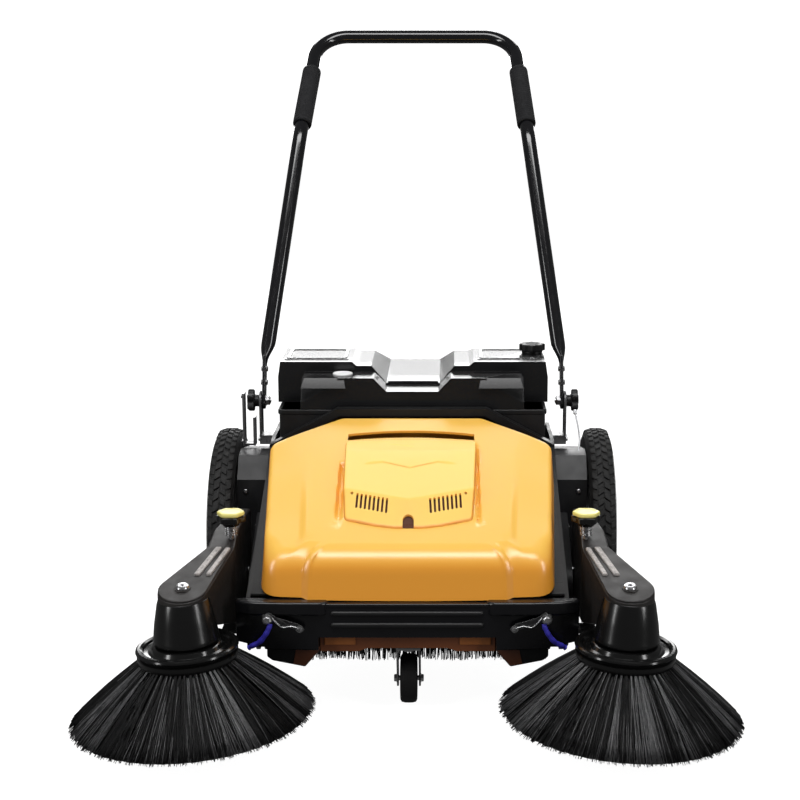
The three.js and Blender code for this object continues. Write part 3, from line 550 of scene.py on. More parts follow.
def bolt(centre, axis, r, h, mat="steel", kind="hex"):
    """Hexagon or cross-slotted pan head whose axis points outwards."""
    if kind == "hex":
        return turned("bolt", [(0, h), (r * 0.82, h), (r, h * 0.8), (r, 0.4), (r * 1.25, 0.4),
                               (r * 1.25, 0),
                               (0, 0)], centre, axis, 6, mat, 20)
    o = lathe("bolt", [(0, h), (r * 0.35, h * 0.98), (r * 0.75, h * 0.82), (r, h * 0.35), (r, 0), (0, 0)],
              centre, axis, 28)
    x, y, z = frame_on(axis)
    tip = centre + z * (h / 1000)
    cut(o, *(bar_on(tip, u, w, z, r * 1.3, r * 0.22, h * 0.5) for u, w in ((x, y), (y, x))))
    return paint(shade(o, 35), mat)


def wavy(cx, cy, r, amp, n, steps=180):
    """Outline of a lobed hand knob."""
    return [(cx + (r + amp * math.cos(n * a)) * math.cos(a), cy + (r + amp * math.cos(n * a)) * math.sin(a))
            for a in (2 * math.pi * i / steps for i in range(steps))]


# ------------------------------------------------------------------ CAD shapes with finished edges
BODY_OF = {n: b for b, ns in frame["record"]["behaviour"]["bodies"].items() for n in ns}


def refine(node, mat, slot, width=1.2, segs=2, angle=30, extra=()):
    """Same shape as the CAD node, with rounded edges and, where given, small extra details."""
    o = link(node + "_finish", frame["nodes"][node].data.copy())
    with editing(o.data) as bm:
        bmesh.ops.remove_doubles(bm, verts=bm.verts, dist=1e-5)
        bmesh.ops.dissolve_limit(bm, angle_limit=math.radians(1), verts=bm.verts, edges=bm.edges)
    paint(bevel(o, width, segs, angle), mat)
    if extra:
        o = join(node + "_finish", [o, *extra])
    return put(o, BODY_OF[node], slot, node)


# ------------------------------------------------------------------ hood
def hood_band(st):
    return 154 + (st - 78) * 17 / 290


def hood_top(x, st):
    d = abs(x) - hood_band(st)
    fade = smooth01((330 - st) / 190)
    z = hood_z(st) - 4.5 * fade * smooth01((d + 4) / 14) - 0.10 * max(0.0,
                                                                      d - 6) * smooth01((400 - st) / 120)
    left = smooth01(1.3 - abs(x + 108) / 5) * smooth01((st - 118) / 60) * smooth01((292 - st) / 6)
    right = smooth01(1.3 - abs(x - 107) / 3) * smooth01((st - 124) / 30) * smooth01((345 - st) / 30)
    return z - 8 * left - 5 * right


def hood_low(x, st):
    steps = ((58, 191.5), (100, 206), (345, 300), (420, 346))
    if st <= steps[0][0]:
        return steps[0][1] - 3.5 * max(0, 1 - (x / 217) ** 2)
    for (y0, z0), (y1, z1) in zip(steps, steps[1:]):
        if st <= y1:
            return z0 + (z1 - z0) * (st - y0) / (y1 - y0)
    return steps[-1][1]


def hood_edge(x, st):
    front = smooth01((130 - st) / 60)
    rear = smooth01((st - 330) / 40)
    return 8 + 22 * front - 3 * rear


def both_sides(half):
    """Closed outline from its right-hand half, listed from the front middle to the rear middle."""
    return half + [(-x, y) for x, y in reversed(half)]


hood_half = [(148, 54), (158, 59), (219, 62), (235, 345), (118, 418)]
hood_radii = [7, 7, 34, 26, 26]
hood_outline = round_corners(both_sides(hood_half), hood_radii + hood_radii[::-1], 7)
hood = moulded("hood_shell", dense(hood_outline, 5), (0, 236), hood_low, hood_top, hood_edge,
               3.5, rings=84, lean=4)
SLOT_HALF, SLOT_MID, SLOT_N = 104, 362, 120
slot_top, slot_low = [], []
for i in range(SLOT_N + 1):
    x = -SLOT_HALF + 2 * SLOT_HALF * i / SLOT_N
    tooth = 2.2 * (i % 3 == 1) if -84 < x < 40 else 0.4 * (i % 2)
    slot_top.append((x, 366 + 10 * (1 - (2 * i / SLOT_N - 1) ** 2)))
    slot_low.append((x, 348.5 + 7 * (1 - (x / SLOT_HALF) ** 2) + tooth))
cut(hood, prism("slot_cut", slot_top + slot_low[::-1], "Z", 330, 440))
put(paint(shade(hood, 40), "orange"), "chassis", "hood_plastic", "hood")



def around_slot(kx, ky):
    return [(x * kx, SLOT_MID + (y - SLOT_MID) * ky) for x, y in slot_top[::6] + slot_low[::-6]]


# the pocket under the hand slot is painted in deep shade
pocket = cut(prism("pocket", around_slot(1.03, 1.30), "Z", 344, 358),
             prism("pocket_cut", around_slot(1.01, 1.12), "Z", 346, 390))
latch = slab([(-103, 351), (-93, 350), (-93, 357), (-103, 358)], "Z", 357, 363, "steel", 0.8, 2)
put(join("hood_pocket", [paint(bevel(pocket, 0.6, 2), "shaded_orange_deep"), latch]), "chassis", "body_plastic")


# ------------------------------------------------------------------ raised vent panel
def ridge_at(x):
    return 163 + 27 * min(1.0, abs(x) / 102)


def panel_foot(x):
    return 121 + 21 * (abs(x) / 99) ** 2


def panel_lift(x, st):
    r, f = ridge_at(x), panel_foot(x)
    steep = 2 + 18 * (st - f) / (r - f)
    flat = 20 - 8 * (st - r) / (300 - r) if st < 300 else 12 - 9.2 * (st - 300) / 46
    blend = 0.9                 # rounds the ridge where the two faces meet
    h = max(0.0, blend - abs(steep - flat)) / blend
    lift = min(steep, flat) - h * h * blend / 4
    ax = abs(x)                 # shallow moulded curve across the upper part
    crease = 249 + 17 * min(1, ax / 44) - 5 * max(0, (ax - 44) / 26)
    lift += 1.5 * smooth01((st - crease + 1.2) / 2.4) * smooth01((78 - ax) / 18) * smooth01((330 - st) / 60)
    if -34 < x < 8:
        rise = smooth01((st - 316 + 0.25 * x) / 2.5) * smooth01((8 - x) / 8)
        lift += 0.8 * rise * smooth01((345 - st) / 20)
    return max(lift, 0.5)


def panel_top(x, st):
    return hood_z(st) + 0.3 + panel_lift(x, st)


panel_half = [(22, 121.5), (50, 126.5), (98, 141), (102, 190), (106, 300), (107, 336), (100, 343),
              (30, 346)]
panel_radii = [30, 60, 9, 40, 60, 8, 12, 60]
panel_outline = round_corners(both_sides(panel_half), panel_radii + panel_radii[::-1], 7)
panel = moulded("vent_panel_shell", dense(panel_outline, 3.2), (0, 246),
                lambda x, st: hood_z(st) - 2.5, panel_top, lambda x, st: 3.2, 2.4, rings=76, lean=0.5)
LOUVRES, LOUVRE_X, LOUVRE_STEP, LOUVRE_HALF, LOUVRE_LEAN = 8, 33, 6.6, 1.7, 1.2
cutters = []
for s in (-1, 1):
    for i in range(LOUVRES):
        x = s * (LOUVRE_X + i * LOUVRE_STEP)
        y0, y1, low = ridge_at(x) - 27, ridge_at(x) - 4, x + s * LOUVRE_LEAN
        louvre = [(low - LOUVRE_HALF, y0), (low + LOUVRE_HALF, y0), (x + LOUVRE_HALF, y1), (x - LOUVRE_HALF,
                                                                                            y1)]
        cutters.append(prism("louvre", round_corners(louvre, 1.5, 3), "Z", 262, 350))
    cutters.append(prism("screw_hole", circle(s * 88, 181, 2.2, 20), "Z", 262, 350))
cutters.append(prism("notch", [(8.5, 110), *arc(0, 132, 8.5, 0, 180, 20), (-8.5, 110)], "Z", 240, 330))
cut(panel, *cutters)
put(paint(shade(panel, 40), "orange_light"), "chassis", "hood_plastic", "vent_panel")

# a dark sheet under the louvres: painted shade for the inside of the vent
GRID_X, GRID_Y = 60, 26
verts, faces = [], []
for j in range(GRID_Y + 1):
    for i in range(GRID_X + 1):
        x = -90 + 180 * i / GRID_X
        st = panel_foot(x) + 1.5 + (ridge_at(x) + 6 - panel_foot(x)) * j / GRID_Y
        verts.append(P(x, st, hood_z(st) + max(0.9, panel_lift(x, st) - 5.5)))
        if i < GRID_X and j < GRID_Y:
            a = j * (GRID_X + 1) + i
            faces.append([a, a + 1, a + GRID_X + 2, a + GRID_X + 1])
louvre_shade = shade(obj_from("vent_shade_sheet", verts, faces), 60)
louvre_shade.modifiers.new("solid", "SOLIDIFY").thickness = 0.0006
put(paint(bake(louvre_shade), "louvre_shade"), "chassis", "body_plastic")

# ------------------------------------------------------------------ chassis, bumper, skirt
rails = []
for s in (-1, 1):
    for (y0, z0), (y1, z1) in (((76, 192.4), (100, 202)), ((100, 202), (345, 296))):
        rails.append(hull("hood_rail", [(s * x, y, z - d) for x in (212, 236) for y, z in ((y0, z0),
                                                                                           (y1, z1))
                                        for d in (0, 4)]))
    corner = ((236, 343, 295.2), (236, 420, 337), (126, 420, 342), (212, 343, 295.2))
    rails.append(hull("hood_corner", [(s * x, y, z - d) for x, y, z in corner for d in (0, 4)]))
rails = [paint(bevel(p, 0.8, 2), "body") for p in rails]
refine("chassis", "body", "body_plastic", 2.0, 3, extra=rails)

BUMPER_BACK, MID_HALF = 65.7, 132
bump = both_sides([(120, 44), (226, 50), (256, 58), (256, BUMPER_BACK)])
bumper_body = prism("bumper_body", bump, "Z", 114, 184)
cut(bumper_body, prism("mid_cut", both_sides([(MID_HALF, 30), (MID_HALF, 70)]), "Z", 100, 134))
for s in (-1, 1):
    end = [(s * x, z) for x, z in ((213, 110), (262, 110), (262, 125), (213, 117.5))]
    cut(bumper_body, prism("end_cut", end, "Y", 30, 70))
bumper_parts = [paint(bevel(bumper_body, 4.5, 4, 20), "bumper"),
                slab([(x, max(y - 1, 43)) for x, y in bump], "Z", 180, 187, "bumper", 2.5, 3, 20)]
for s in (-1, 1):
    lip = ((256, BUMPER_BACK), (256, 54), (248, 48), (226, 41), (180, 38.5), (128, 38.5), (119, 44),
           (116, 52),
           (124, BUMPER_BACK))
    bumper_parts.append(slab([(s * x, y) for x, y in lip], "Z", 169, 190, "bumper", 9.0, 7, 20))
    foot = ((MID_HALF, 117), (MID_HALF, 108), (154, 82), (203, 92), (211, 98), (211, 117))
    foot = hull("bumper_foot", [(s * x, y, z) for x, z in foot for y in (60.5, 103.5)])
    paint(bevel(foot, 2.4, 3, 20), "body")
    # the feet's inward faces and their facets take painted shade on orange
    foot.data.materials.append(M["shaded_orange_deep"])
    for poly in foot.data.polygons:
        if -s * poly.normal.x > 0.25 and poly.normal.z < 0.2:
            poly.material_index = 1
    facet = ((134, 116), (134, 108.8), (154.5, 84.5), (172, 87.8), (166, 116))
    bumper_parts += [foot, slab([(s * x, z) for x, z in facet], "Y", 59.4, 61, "shaded_orange_deep", 0.6, 2, 20)]
for z0 in (150, 168):
    rib = [(-119, 60), (-112, 40), (112, 40), (119, 60)]
    bumper_parts.append(slab(rib, "Z", z0, z0 + 8, "body", 3.4, 4, 20))
put(join("bumper_shell", bumper_parts), "chassis", "body_plastic", "bumper")

skirt_half = [(60, 111), (74, 106), (131.4, 106), (131.4, 133.7)]
# the skirt plate and its pads are orange plastic with painted shade
skirt = [slab(both_sides(skirt_half), "Y", 62, BUMPER_BACK, "shaded_orange_mid", 1.2, 2, 20)]
for s in (-1, 1):
    pad = [(s * x, z) for x, z in ((78, 117), (125, 117), (125, 131), (78, 131))]
    skirt.append(slab(pad, "Y", 59.5, 63, "skirt", 1.8, 3, 20))
put(join("front_skirt_plate", skirt), "chassis", "skirt_plastic", "front_skirt")

# ------------------------------------------------------------------ caster
bolts = [bolt(P(sx * 18, CASTER_ST + sy * 22, 108), (0, 0, -1), 4, 3) for sx in (-1, 1) for sy in (-1, 1)]
refine("caster_plate", "steel", "steel", 0.8, 2, extra=bolts)
race = turned("caster_race", [(8, 0), (19.5, 0), (20.5, 2), (20.5, 4.5), (18, 5.6), (8, 5.6)],
              P(0, CASTER_ST, 102), UP, 48, "steel", closed=True)
refine("caster_fork", "darksteel", "steel", 1.3, 3, extra=[race])
AXLE_ST = CASTER_ST + CASTER_TRAIL
AXLE = P(0, AXLE_ST, CASTER_R)
tread = [(12, -13), (12, -10), (24, -10.5), (26, -13), (33, -13), (36.5, -11), (37.8, -6)]
tread += [(CASTER_R, 0)] + [(r, -x) for r, x in reversed(tread)] + [(4.4, 13.4), (4.4, -13.4)]
put(turned("caster_tyre", tread, AXLE, (1, 0, 0), 72, "rubber", 32, closed=True), "caster_wheel", "rubber",
    "caster_wheel")
pin = paint(lathe("caster_pin", [(0, -19), (4, -19), (4, 19), (0, 19)], AXLE, (1, 0, 0), 24), "steel")
nuts = [bolt(P(s * 18.8, AXLE_ST, CASTER_R), (s, 0, 0), 6.2, 4.2) for s in (-1, 1)]
put(join("caster_axle_bolt", [pin, *nuts]), "caster_swivel", "steel", "caster_axle")


# ------------------------------------------------------------------ bristles
def strands(name, roots, seg, thick):
    """Many thin three-sided fibres; each root is (path function of 0..1, material index), where index 1 is
    the painted sheen.
    """
    verts, faces, index = [], [], []
    for path, mi in roots:
        pts = [path(k / seg) for k in range(seg + 1)]
        base = len(verts)
        for k, p in enumerate(pts):
            d = (pts[min(k + 1, seg)] - pts[max(k - 1, 0)]).normalized()
            u = d.orthogonal().normalized()
            w = d.cross(u)
            r = (thick[0] + (thick[1] - thick[0]) * k / seg) / 1000
            for a in (0, 2.094, 4.189):
                verts.append(p + u * math.cos(a) * r + w * math.sin(a) * r)
        for k in range(seg):
            for a in range(3):
                b = (a + 1) % 3
                i = base + 3 * k
                faces.append([i + a, i + b, i + 3 + b, i + 3 + a])
                index.append(mi)
        faces.append([base + 3 * seg, base + 3 * seg + 1, base + 3 * seg + 2])
        index.append(mi)
    o = obj_from(name, verts, faces)
    for mat in ("bristle", "bristle_sheen"):
        o.data.materials.append(M[mat])
    o.data.polygons.foreach_set("material_index", index)
    for p in o.data.polygons:
        p.use_smooth = True
    return o


def brush_axis(s):
    out, forward = math.radians(BRUSH_LEAN_OUT), math.radians(BRUSH_LEAN_FORWARD)
    return Vector((s * math.sin(out), -math.sin(forward), 1)).normalized()


ROOT_R, ROOT_H = 64, 95
UMBRELLA = ((ROOT_R, ROOT_H), (74, 89), (98, 71), (129, 47), (158, 22.5), (181, 2))


def umbrella(t, drop, reach):
    """Radius and height along a bristle; drop puts it under the outer layer, reach scales its length."""
    f = t * (len(UMBRELLA) - 1) * 0.9999
    i = int(f)
    f -= i
    (r0, h0), (r1, h1) = UMBRELLA[i:i + 2]
    r, h = r0 + (r1 - r0) * f, h0 + (h1 - h0) * f
    k = 1 - drop * (1 - t * 0.6)
    return (ROOT_R * k + (r - ROOT_R) * (k + 0.12 * drop) * reach,
            max(0.6, ROOT_H + (h - ROOT_H) * reach - drop * 38 * (1 - t)))


TUFTS, LAYER_SEG = 64, 192
RINGS = ((0.0, 20), (0.07, 12), (0.18, 8))      # drop under the outer layer, fibres per tuft
for side, s in SIDES:
    axis = brush_axis(s)
    centre = P(s * BRUSH_X, 0, BRUSH_Z)
    bx, by, bz = frame_on(axis)
    body = side + "_brush"
    spots = []
    for ring, (drop, count) in enumerate(RINGS):
        for t in range(TUFTS):
            a0 = 2 * math.pi * (t + 0.5 * (ring % 2)) / TUFTS + rnd.uniform(-0.02, 0.02)
            # material 1 is the painted sheen, given to clusters of tufts
            mi = 1 if rnd.random() < 0.30 + 0.34 * math.sin(t * 0.49 + s) + 0.2 * math.sin(t * 1.7) else 0
            for _ in range(count):
                a_root = a0 + rnd.gauss(0, 0.010)
                a_tip = a0 + rnd.gauss(0, 0.036)
                reach = rnd.uniform(0.955, 1.0) if ring == 0 else rnd.uniform(0.9, 0.985)
                dd = drop + rnd.uniform(0, 0.03)
                wob = rnd.uniform(-1.6, 1.6)

                def path(q, a_root=a_root, a_tip=a_tip, reach=reach, dd=dd, wob=wob):
                    r, h = umbrella(q, dd, reach)
                    a = a_root + (a_tip - a_root) * q
                    h = max(0.5, h + wob * math.sin(q * 2.6) * q)
                    return centre + (bx * math.cos(a) + by * math.sin(a)) * (r / 1000) + bz * (h / 1000)

                spots.append((path, mi if rnd.random() < 0.86 else 1 - mi))
    put(strands(side + "_brush_fibres", spots, 6, (0.85, 0.5)), body, "bristle", side + "_brush_bristles")
    # a wavy solid layer under the fibres, so that no light falls through them
    layer = [(46, 90), (62, 90), (72, 84), (96, 65), (126, 41), (152, 18), (173, 3), (162, 3), (120, 30),
             (60, 72), (46, 76)]
    base = lathe(side + "_brush_underlayer", layer, centre, axis, LAYER_SEG, closed=True)
    for i, v in enumerate(base.data.vertices):
        off = v.co - centre
        radial = off - bz * off.dot(bz)
        k = i % LAYER_SEG
        wave = 0.8 * math.sin(k * 2 * math.pi * 48 / LAYER_SEG) + 0.5 * math.sin(k * 1.7)
        v.co += radial.normalized() * (wave * radial.length / 0.18 / 1000)
    put(paint(shade(base, 80), "bristle"), body, "bristle")
    disc = [(7.3, 99), (60, 99), (67, 90), (72, 90), (73.5, 96), (73.5, 100), (70, 102), (70.5, 104),
            (74.2, 105.5), (75, 107.5), (74.2, 110), (71.5, 111.7), (68, 111.9), (64.5, 110), (62.5, 106.6),
            (57, 105.6), (53, 107.5), (50, 113), (46, 115), (7.3, 115)]
    put(turned(side + "_brush_disc_ring", disc, centre, axis, 128, "gloss", 28, closed=True), body,
        "gloss_plastic_black", side + "_brush_disc")
    refine(side + "_brush_spindle", "steel", "steel", 0.6, 2)

roller_spots = []
ROWS, ALONG, PER_TUFT, TUFT_END, FIBRE_END, CORE_R = 12, 62, 6, 219, 225, 64.5
for row in range(ROWS):
    for j in range(ALONG):
        x = -TUFT_END + 2 * TUFT_END * j / (ALONG - 1)
        a0 = 2 * math.pi * (row / ROWS + 0.30 * j / ALONG)
        # some tufts take the painted sheen
        mi = 1 if rnd.random() < 0.3 else 0
        for _ in range(PER_TUFT):
            a1, a2 = a0 + rnd.gauss(0, 0.02), a0 + rnd.gauss(0, 0.05)
            x1, x2 = x + rnd.gauss(0, 1.0), x + rnd.gauss(0, 3.2)
            top = ROLLER_R - rnd.uniform(0.2, 5)

            def path(q, a1=a1, a2=a2, x1=x1, x2=max(-FIBRE_END, min(FIBRE_END, x2)), top=top):
                a = a1 + (a2 - a1) * q
                r = CORE_R + (top - CORE_R) * q
                return P(x1 + (x2 - x1) * q, ROLLER_ST + r * math.cos(a), ROLLER_Z + r * math.sin(a))

            roller_spots.append((path, mi))
put(strands("roller_fibres", roller_spots, 2, (1.1, 0.7)), "roller", "bristle", "roller_bristles")
refine("roller_core", "core", "steel", 0.8, 2)
for side, s in SIDES:
    refine(side + "_roller_pulley", "body", "body_plastic", 0.7, 2)
    refine(side + "_drive_belt", "rubber", "rubber", 1.0, 2)
    refine(side + "_side_belt", "rubber", "rubber", 0.6, 2)

# ------------------------------------------------------------------ side-brush arms
def arm_top(y):
    return 223 + 0.225 * y


CONE = [(43, 117), (46, 117), (48.2, 118.5), (48.6, 121), (47.6, 125), (44.4, 147), (38.4, 176),
        (36.8, 180.5),
        (33.5, 183), (0, 183.5), (0, 176), (33, 174), (43, 124)]
ARM_RIBS = ((291, 34, 272, 110, 3.6), (308, 34, 286, 112, 4.4))     # two ends and half width
ARM_TOP_NORMAL = Vector((0, -0.2195, 0.9756))
ROD_Z, THREADS, PITCH = 222, 37, 1.55
COIL_R, COIL_Z, COIL_H, COIL_TURNS, COIL_STEPS = 0.0083, 0.2615, 0.0145, 5.0, 150

for side, s in SIDES:
    axis = brush_axis(s)
    centre = P(s * BRUSH_X, 0, BRUSH_Z)
    hub = centre + axis * HUB_TOP
    hx, hy = abs(hub.x) * 1000, (hub.y - S0) * 1000
    body = side + "_arm"

    def ring(r, n=28):
        return [(hx + r * math.cos(2 * math.pi * i / n), hy + r * math.sin(2 * math.pi * i / n))
                for i in range(n)]

    front = [(s * x, y, z) for x, y in ring(36) for z in (arm_top(y), 176)]
    front += [(s * x, 119, z) for x in (264, 306) for z in (arm_top(119), 132)]
    rear = [(s * x, 118, z) for x in (264, 306) for z in (arm_top(118), 132)]
    rear += [(s * x, 175, 262) for x in (265, 303)]
    rear += [(s * x, y, z) for x in (266, 291) for y, z in ((348, 92), (348, 250), (250, 262))]
    side_rib = [(190, 236), (338, 226), (340, 232), (192, 243)]
    arm = [paint(bevel(hull("arm_front", front), 3.2, 3, 24), "arm"),
           paint(bevel(hull("arm_rear", rear), 4.5, 4, 20), "arm"),
           turned("arm_cone", CONE, centre, axis, 112, "cone"),
           slab(side_rib, "X", s * 289, s * 298, "arm", 1.6),
           bolt(P(s * 298.5, ROLLER_ST, ROLLER_Z), (s, 0, 0), 9, 4.5)]
    put(join(side + "_arm_shell", arm), body, "body_plastic", side + "_arm_housing")

    top = [(s * x, y, arm_top(y) + z) for x, y in ring(35.5) for z in (0.2, 3.4)]
    top += [(s * x, 117, arm_top(117) + z) for x in (266, 304) for z in (0.2, 3.4)]
    cover = [paint(bevel(hull("arm_lid", top), 1.4, 3, 24), "arm")]
    for x0, y0, x1, y1, half in ARM_RIBS:
        pts = [(s * (x + dx), y, arm_top(y) + dz) for x, y in ((x0, y0), (x1, y1)) for dx in (-half, half)
               for dz in (1, 6.6)]
        cover.append(paint(bevel(hull("arm_rib", pts), 1.1, 3, 24), "rib"))
    seat = P(s * hx, hy, arm_top(hy) + 3.2)
    cover.append(turned("arm_washer", [(0, 0), (11.5, 0), (12, 0.8), (11.5, 1.6), (0, 1.6)],
                        seat, ARM_TOP_NORMAL, 48, "arm"))
    screw = lathe("arm_screw", [(0, 1.5), (9.2, 1.5), (9.6, 3), (8.6, 5.2), (6.6, 5.8), (0, 5.8)],
                  seat, ARM_TOP_NORMAL, 48)
    cut(screw, lathe("hexkey", [(0, 3.4), (4, 3.4), (4, 8), (0, 8)], seat, ARM_TOP_NORMAL, 6))
    cover.append(paint(shade(screw, 30), "steel"))
    put(join(side + "_arm_top", cover), body, "body_plastic", side + "_arm_cover")

    # height knob on its sprung, threaded rod
    kb = side + "_arm_knob"
    K = P(s * KNOB_X, KNOB_ST, 0)
    thread = [(0, ROD_Z)]
    for i in range(THREADS):
        thread += [(3.4, ROD_Z + i * PITCH), (4.0, ROD_Z + 0.78 + i * PITCH)]
    knob = [slab(wavy(s * KNOB_X, KNOB_ST, 20.6, 1.9, 6, 120), "Z", 283, 293.2, "gloss", 2.2, 4, 40),
            turned("knob_neck", [(0, 277), (11.5, 277), (13, 278.5), (13.4, 282), (16, 285), (0, 285)],
                   K, UP, 48, "gloss", 40),
            turned("knob_rod", thread + [(0, 280)], K, UP, 24, "steel")]
    put(join(side + "_knob_body", knob), kb, "gloss_plastic_black", side + "_knob")
    cap = prism(side + "_knob_top", wavy(s * KNOB_X, KNOB_ST, 20.0, 0.9, 6, 120), "Z", 293.3, 299.9)
    bevel(cap, 2.2, 4, 40)
    cut(cap, lathe("dish", [(0, 299.2), (14.5, 299.2), (15.5, 301), (0, 301)], K, UP, 64))
    put(paint(shade(cap, 35), "yellow"), kb, "knob_yellow", side + "_knob_cap")
    coil = [K + Vector((COIL_R * math.cos(a), COIL_R * math.sin(a), COIL_Z + COIL_H * i / COIL_STEPS))
            for i, a in ((i, 2 * math.pi * COIL_TURNS * i / COIL_STEPS) for i in range(COIL_STEPS + 1))]
    spring = shade(tube(side + "_knob_coil", coil, 1.15, 8), 60)
    put(paint(spring, "steel"), body, "steel", side + "_knob_spring")

# ------------------------------------------------------------------ drive wheels and guards
TYRE_MID = 322
TYRE = [(124.4, 304), (133, 301.5), (150, 300.4), (161, 301.5), (166.5, 305), (168.6, 311),
        (168.9, TYRE_MID),
        (168.6, 333), (166.5, 339), (161, 342.5), (150, 343.6), (133, 342.5), (124.4, 340)]
LUGS = 56
LUG_ROWS = ((303.4, 311.0, 0.35, 0.0), (312.4, 321.2, -0.5, 0.5), (322.8, 331.6, 0.5, 0.0),
            (333.0, 340.6, -0.35, 0.5))         # from x, to x, skew, shift round the tyre in lugs
HUB = [(0, 357.6), (12, 357.4), (20, 356), (22.5, 353.8), (27.5, 352), (30, 348.5), (30, 342.4),
       (17.2, 342.4),
       (17.2, 351), (0, 351)]


def tread_lugs(s):
    bm = bmesh.new()
    for i in range(LUGS):
        for x0, x1, skew, shift in LUG_ROWS:
            a = 2 * math.pi * (i + shift) / LUGS
            half = math.pi / LUGS * 0.62
            outer = 171.9 if 311 < (x0 + x1) / 2 < 333 else 171.0
            corner = []
            for r, tight in ((165.5, 1.15), (outer, 0.86)):
                for x, k in ((x0, -skew), (x1, skew)):
                    for e in (-1, 1):
                        b = a + half * (e * tight + k)
                        rr = r - (2.6 if abs(x - TYRE_MID) > 15 and tight < 1 else 0)
                        y, z = WHEEL_ST + rr * math.cos(b), WHEEL_Z + rr * math.sin(b)
                        corner.append(bm.verts.new(P(s * x, y, z)))
            for f in BOX_FACES:
                bm.faces.new([corner[j] for j in f])
    bmesh.ops.recalc_face_normals(bm, faces=bm.faces)
    return bevel(obj_from_bm("lugs", bm), 0.6, 1, 30)


for side, s in SIDES:
    hubc = P(0, WHEEL_ST, WHEEL_Z)
    out = (s, 0, 0)
    parts = [shade(lathe("tyre_body", TYRE, hubc, out, 160, closed=True), 50), tread_lugs(s)]
    for x, d in ((300.6, -0.9), (343.4, 0.9)):
        for r0, r1 in ((129, 131), (156, 158)):
            line = [(r0, x), (r0 + 0.3, x + d * 0.6), (r1 - 0.3, x + d * 0.6), (r1, x)]
            parts.append(shade(lathe("sidewall_line", line, hubc, out, 120, closed=True), 40))
    put(join(side + "_tyre_rubber", paint_all(parts, "tyre")), side + "_wheel", "tyre_rubber",
        side + "_tyre")
    refine(side + "_rim", "body", "body_plastic", 1.8, 3)
    put(turned(side + "_hub_disc", HUB, hubc, out, 64, "gloss"), side + "_wheel", "gloss_plastic_black",
        side + "_hub_cap")
    refine(side + "_stub_axle", "steel", "steel", 0.8, 2)
    screws = [bolt(P(s * 263, y, z), out, 4.2, 2.6, kind="pan") for y, z in ((285, 165), (335, 100),
                                                                             (395, 206))]
    screws += [bolt(P(s * x, 411.8, z), (0, -1, 0), 4.0, 2.4, kind="pan") for x, z in ((282, 120),
                                                                                       (282, 262))]
    refine(side + "_belt_guard", "guard", "body_plastic", 3.0, 4, extra=screws)

# ------------------------------------------------------------------ adjusting links at the bumper
FRONT = (0, -1, 0)
SLEEVE_ROUTE = ((202.5, 31, 160), (203, 30, 156), (208, 28.4, 146), (217, 29.3, 134), (231, 32, 125),
                (235, 33, 122.5))
for side, s in SIDES:
    link_parts = []
    for x, z, r, y, h, kind in ((206, 167, 5.6, 30.2, 3.6, "hex"), (159, 151, 4.2, 34.8, 2.4, "pan")):
        link_parts.append(turned("link_washer", [(0, 0), (r * 1.3, 0), (r * 1.3, 1.2), (0, 1.2)],
                                 P(s * x, 36, z), FRONT, 40, "darksteel"))
        link_parts.append(bolt(P(s * x, y, z), FRONT, r, h, kind=kind))
    link_parts.append(turned("link_drum", [(0, 0), (7.2, 0), (7.8, 1), (7.8, 5), (7.2, 6), (0, 6)],
                             P(s * 206, 36, 167), FRONT, 40, "darksteel"))
    wire = [P(s * x, 33.5, z) for x, z in ((200, 170), (192, 160), (184, 154), (172, 155.5), (163, 153.5))]
    link_parts.append(paint(shade(tube("link_wire", curve_through(wire, 8), 1.1, 10), 60), "steel"))
    refine(side + "_tie_link", "darksteel", "steel", 0.4, 2, extra=link_parts)
    path = curve_through([P(s * x, y, z) for x, y, z in SLEEVE_ROUTE], 8)
    n = len(path)
    radii = [3.9 + 0.5 * math.sin(i * 0.9) * (0.2 + 0.8 * i / n) for i in range(n)]
    sleeve = shade(tube(side + "_sleeve", path, 5, 20, radii=radii), 60)
    put(paint(sleeve, "blue"), "chassis", "sleeve_blue", side + "_tie_sleeve")

# ------------------------------------------------------------------ hopper
ribs = []
for s in (-1, 1):
    for y in (560, 625, 690):
        rib = [(y - 5, 150), (y + 5, 150), (y + 5, 384), (y - 5, 384)]
        ribs.append(slab(rib, "X", s * 224, s * 229.5, "body", 1.6))
for x in (-150, -75, 0, 75, 150):
    ribs.append(slab([(780.5, 178), (784.5, 178), (790.5, 385), (786, 385)], "X", x - 5, x + 5, "body",
                     1.4))
rim_out = round_corners([(-229, 447), (229, 447), (229, 789.5), (-229, 789.5)], 10, 6)
rim = prism("bin_rim", rim_out, "Z", 387, 395.6)
rim_in = round_corners([(-224, 452), (224, 452), (224, 783), (-224, 783)], 6, 6)
cut(rim, prism("rim_cut", rim_in, "Z", 380, 400))
ribs.append(paint(bevel(rim, 1.8, 3), "body"))
refine("hopper_bin", "body", "body_plastic", 2.6, 3, extra=ribs)

lid_parts = []
for s in (-1, 1):
    for x, y, z, r, n in ((208, 545, WING_Z, 4.2, UP), (130, 545, WING_Z, 4.2, UP),
                          (60, 479, 445.6, 3.6, (-s * 0.64, 0, 0.77))):
        lid_parts.append(bolt(P(s * x, y, z), n, r, 2.0, "darksteel", "pan"))
    seam = [(s * 112, 530), (s * 224, 530), (s * 224, 534), (s * 112, 534)]
    lid_parts.append(slab(seam, "Z", 466.2, 468.2, "lid", 0.8, 2))
    wing = round_corners([(s * 116, 545), (s * 222, 545), (s * 222, 640), (s * 116, 640)], 10, 6)
    wing_in = round_corners([(s * 122, 551), (s * 216, 551), (s * 216, 634), (s * 122, 634)], 7, 6)
    frame_rim = cut(prism("wing_panel", wing, "Z", 466.0, 468.3), prism("wing_cut", wing_in, "Z", 460, 475))
    lid_parts.append(paint(bevel(frame_rim, 0.8, 2), "lid"))
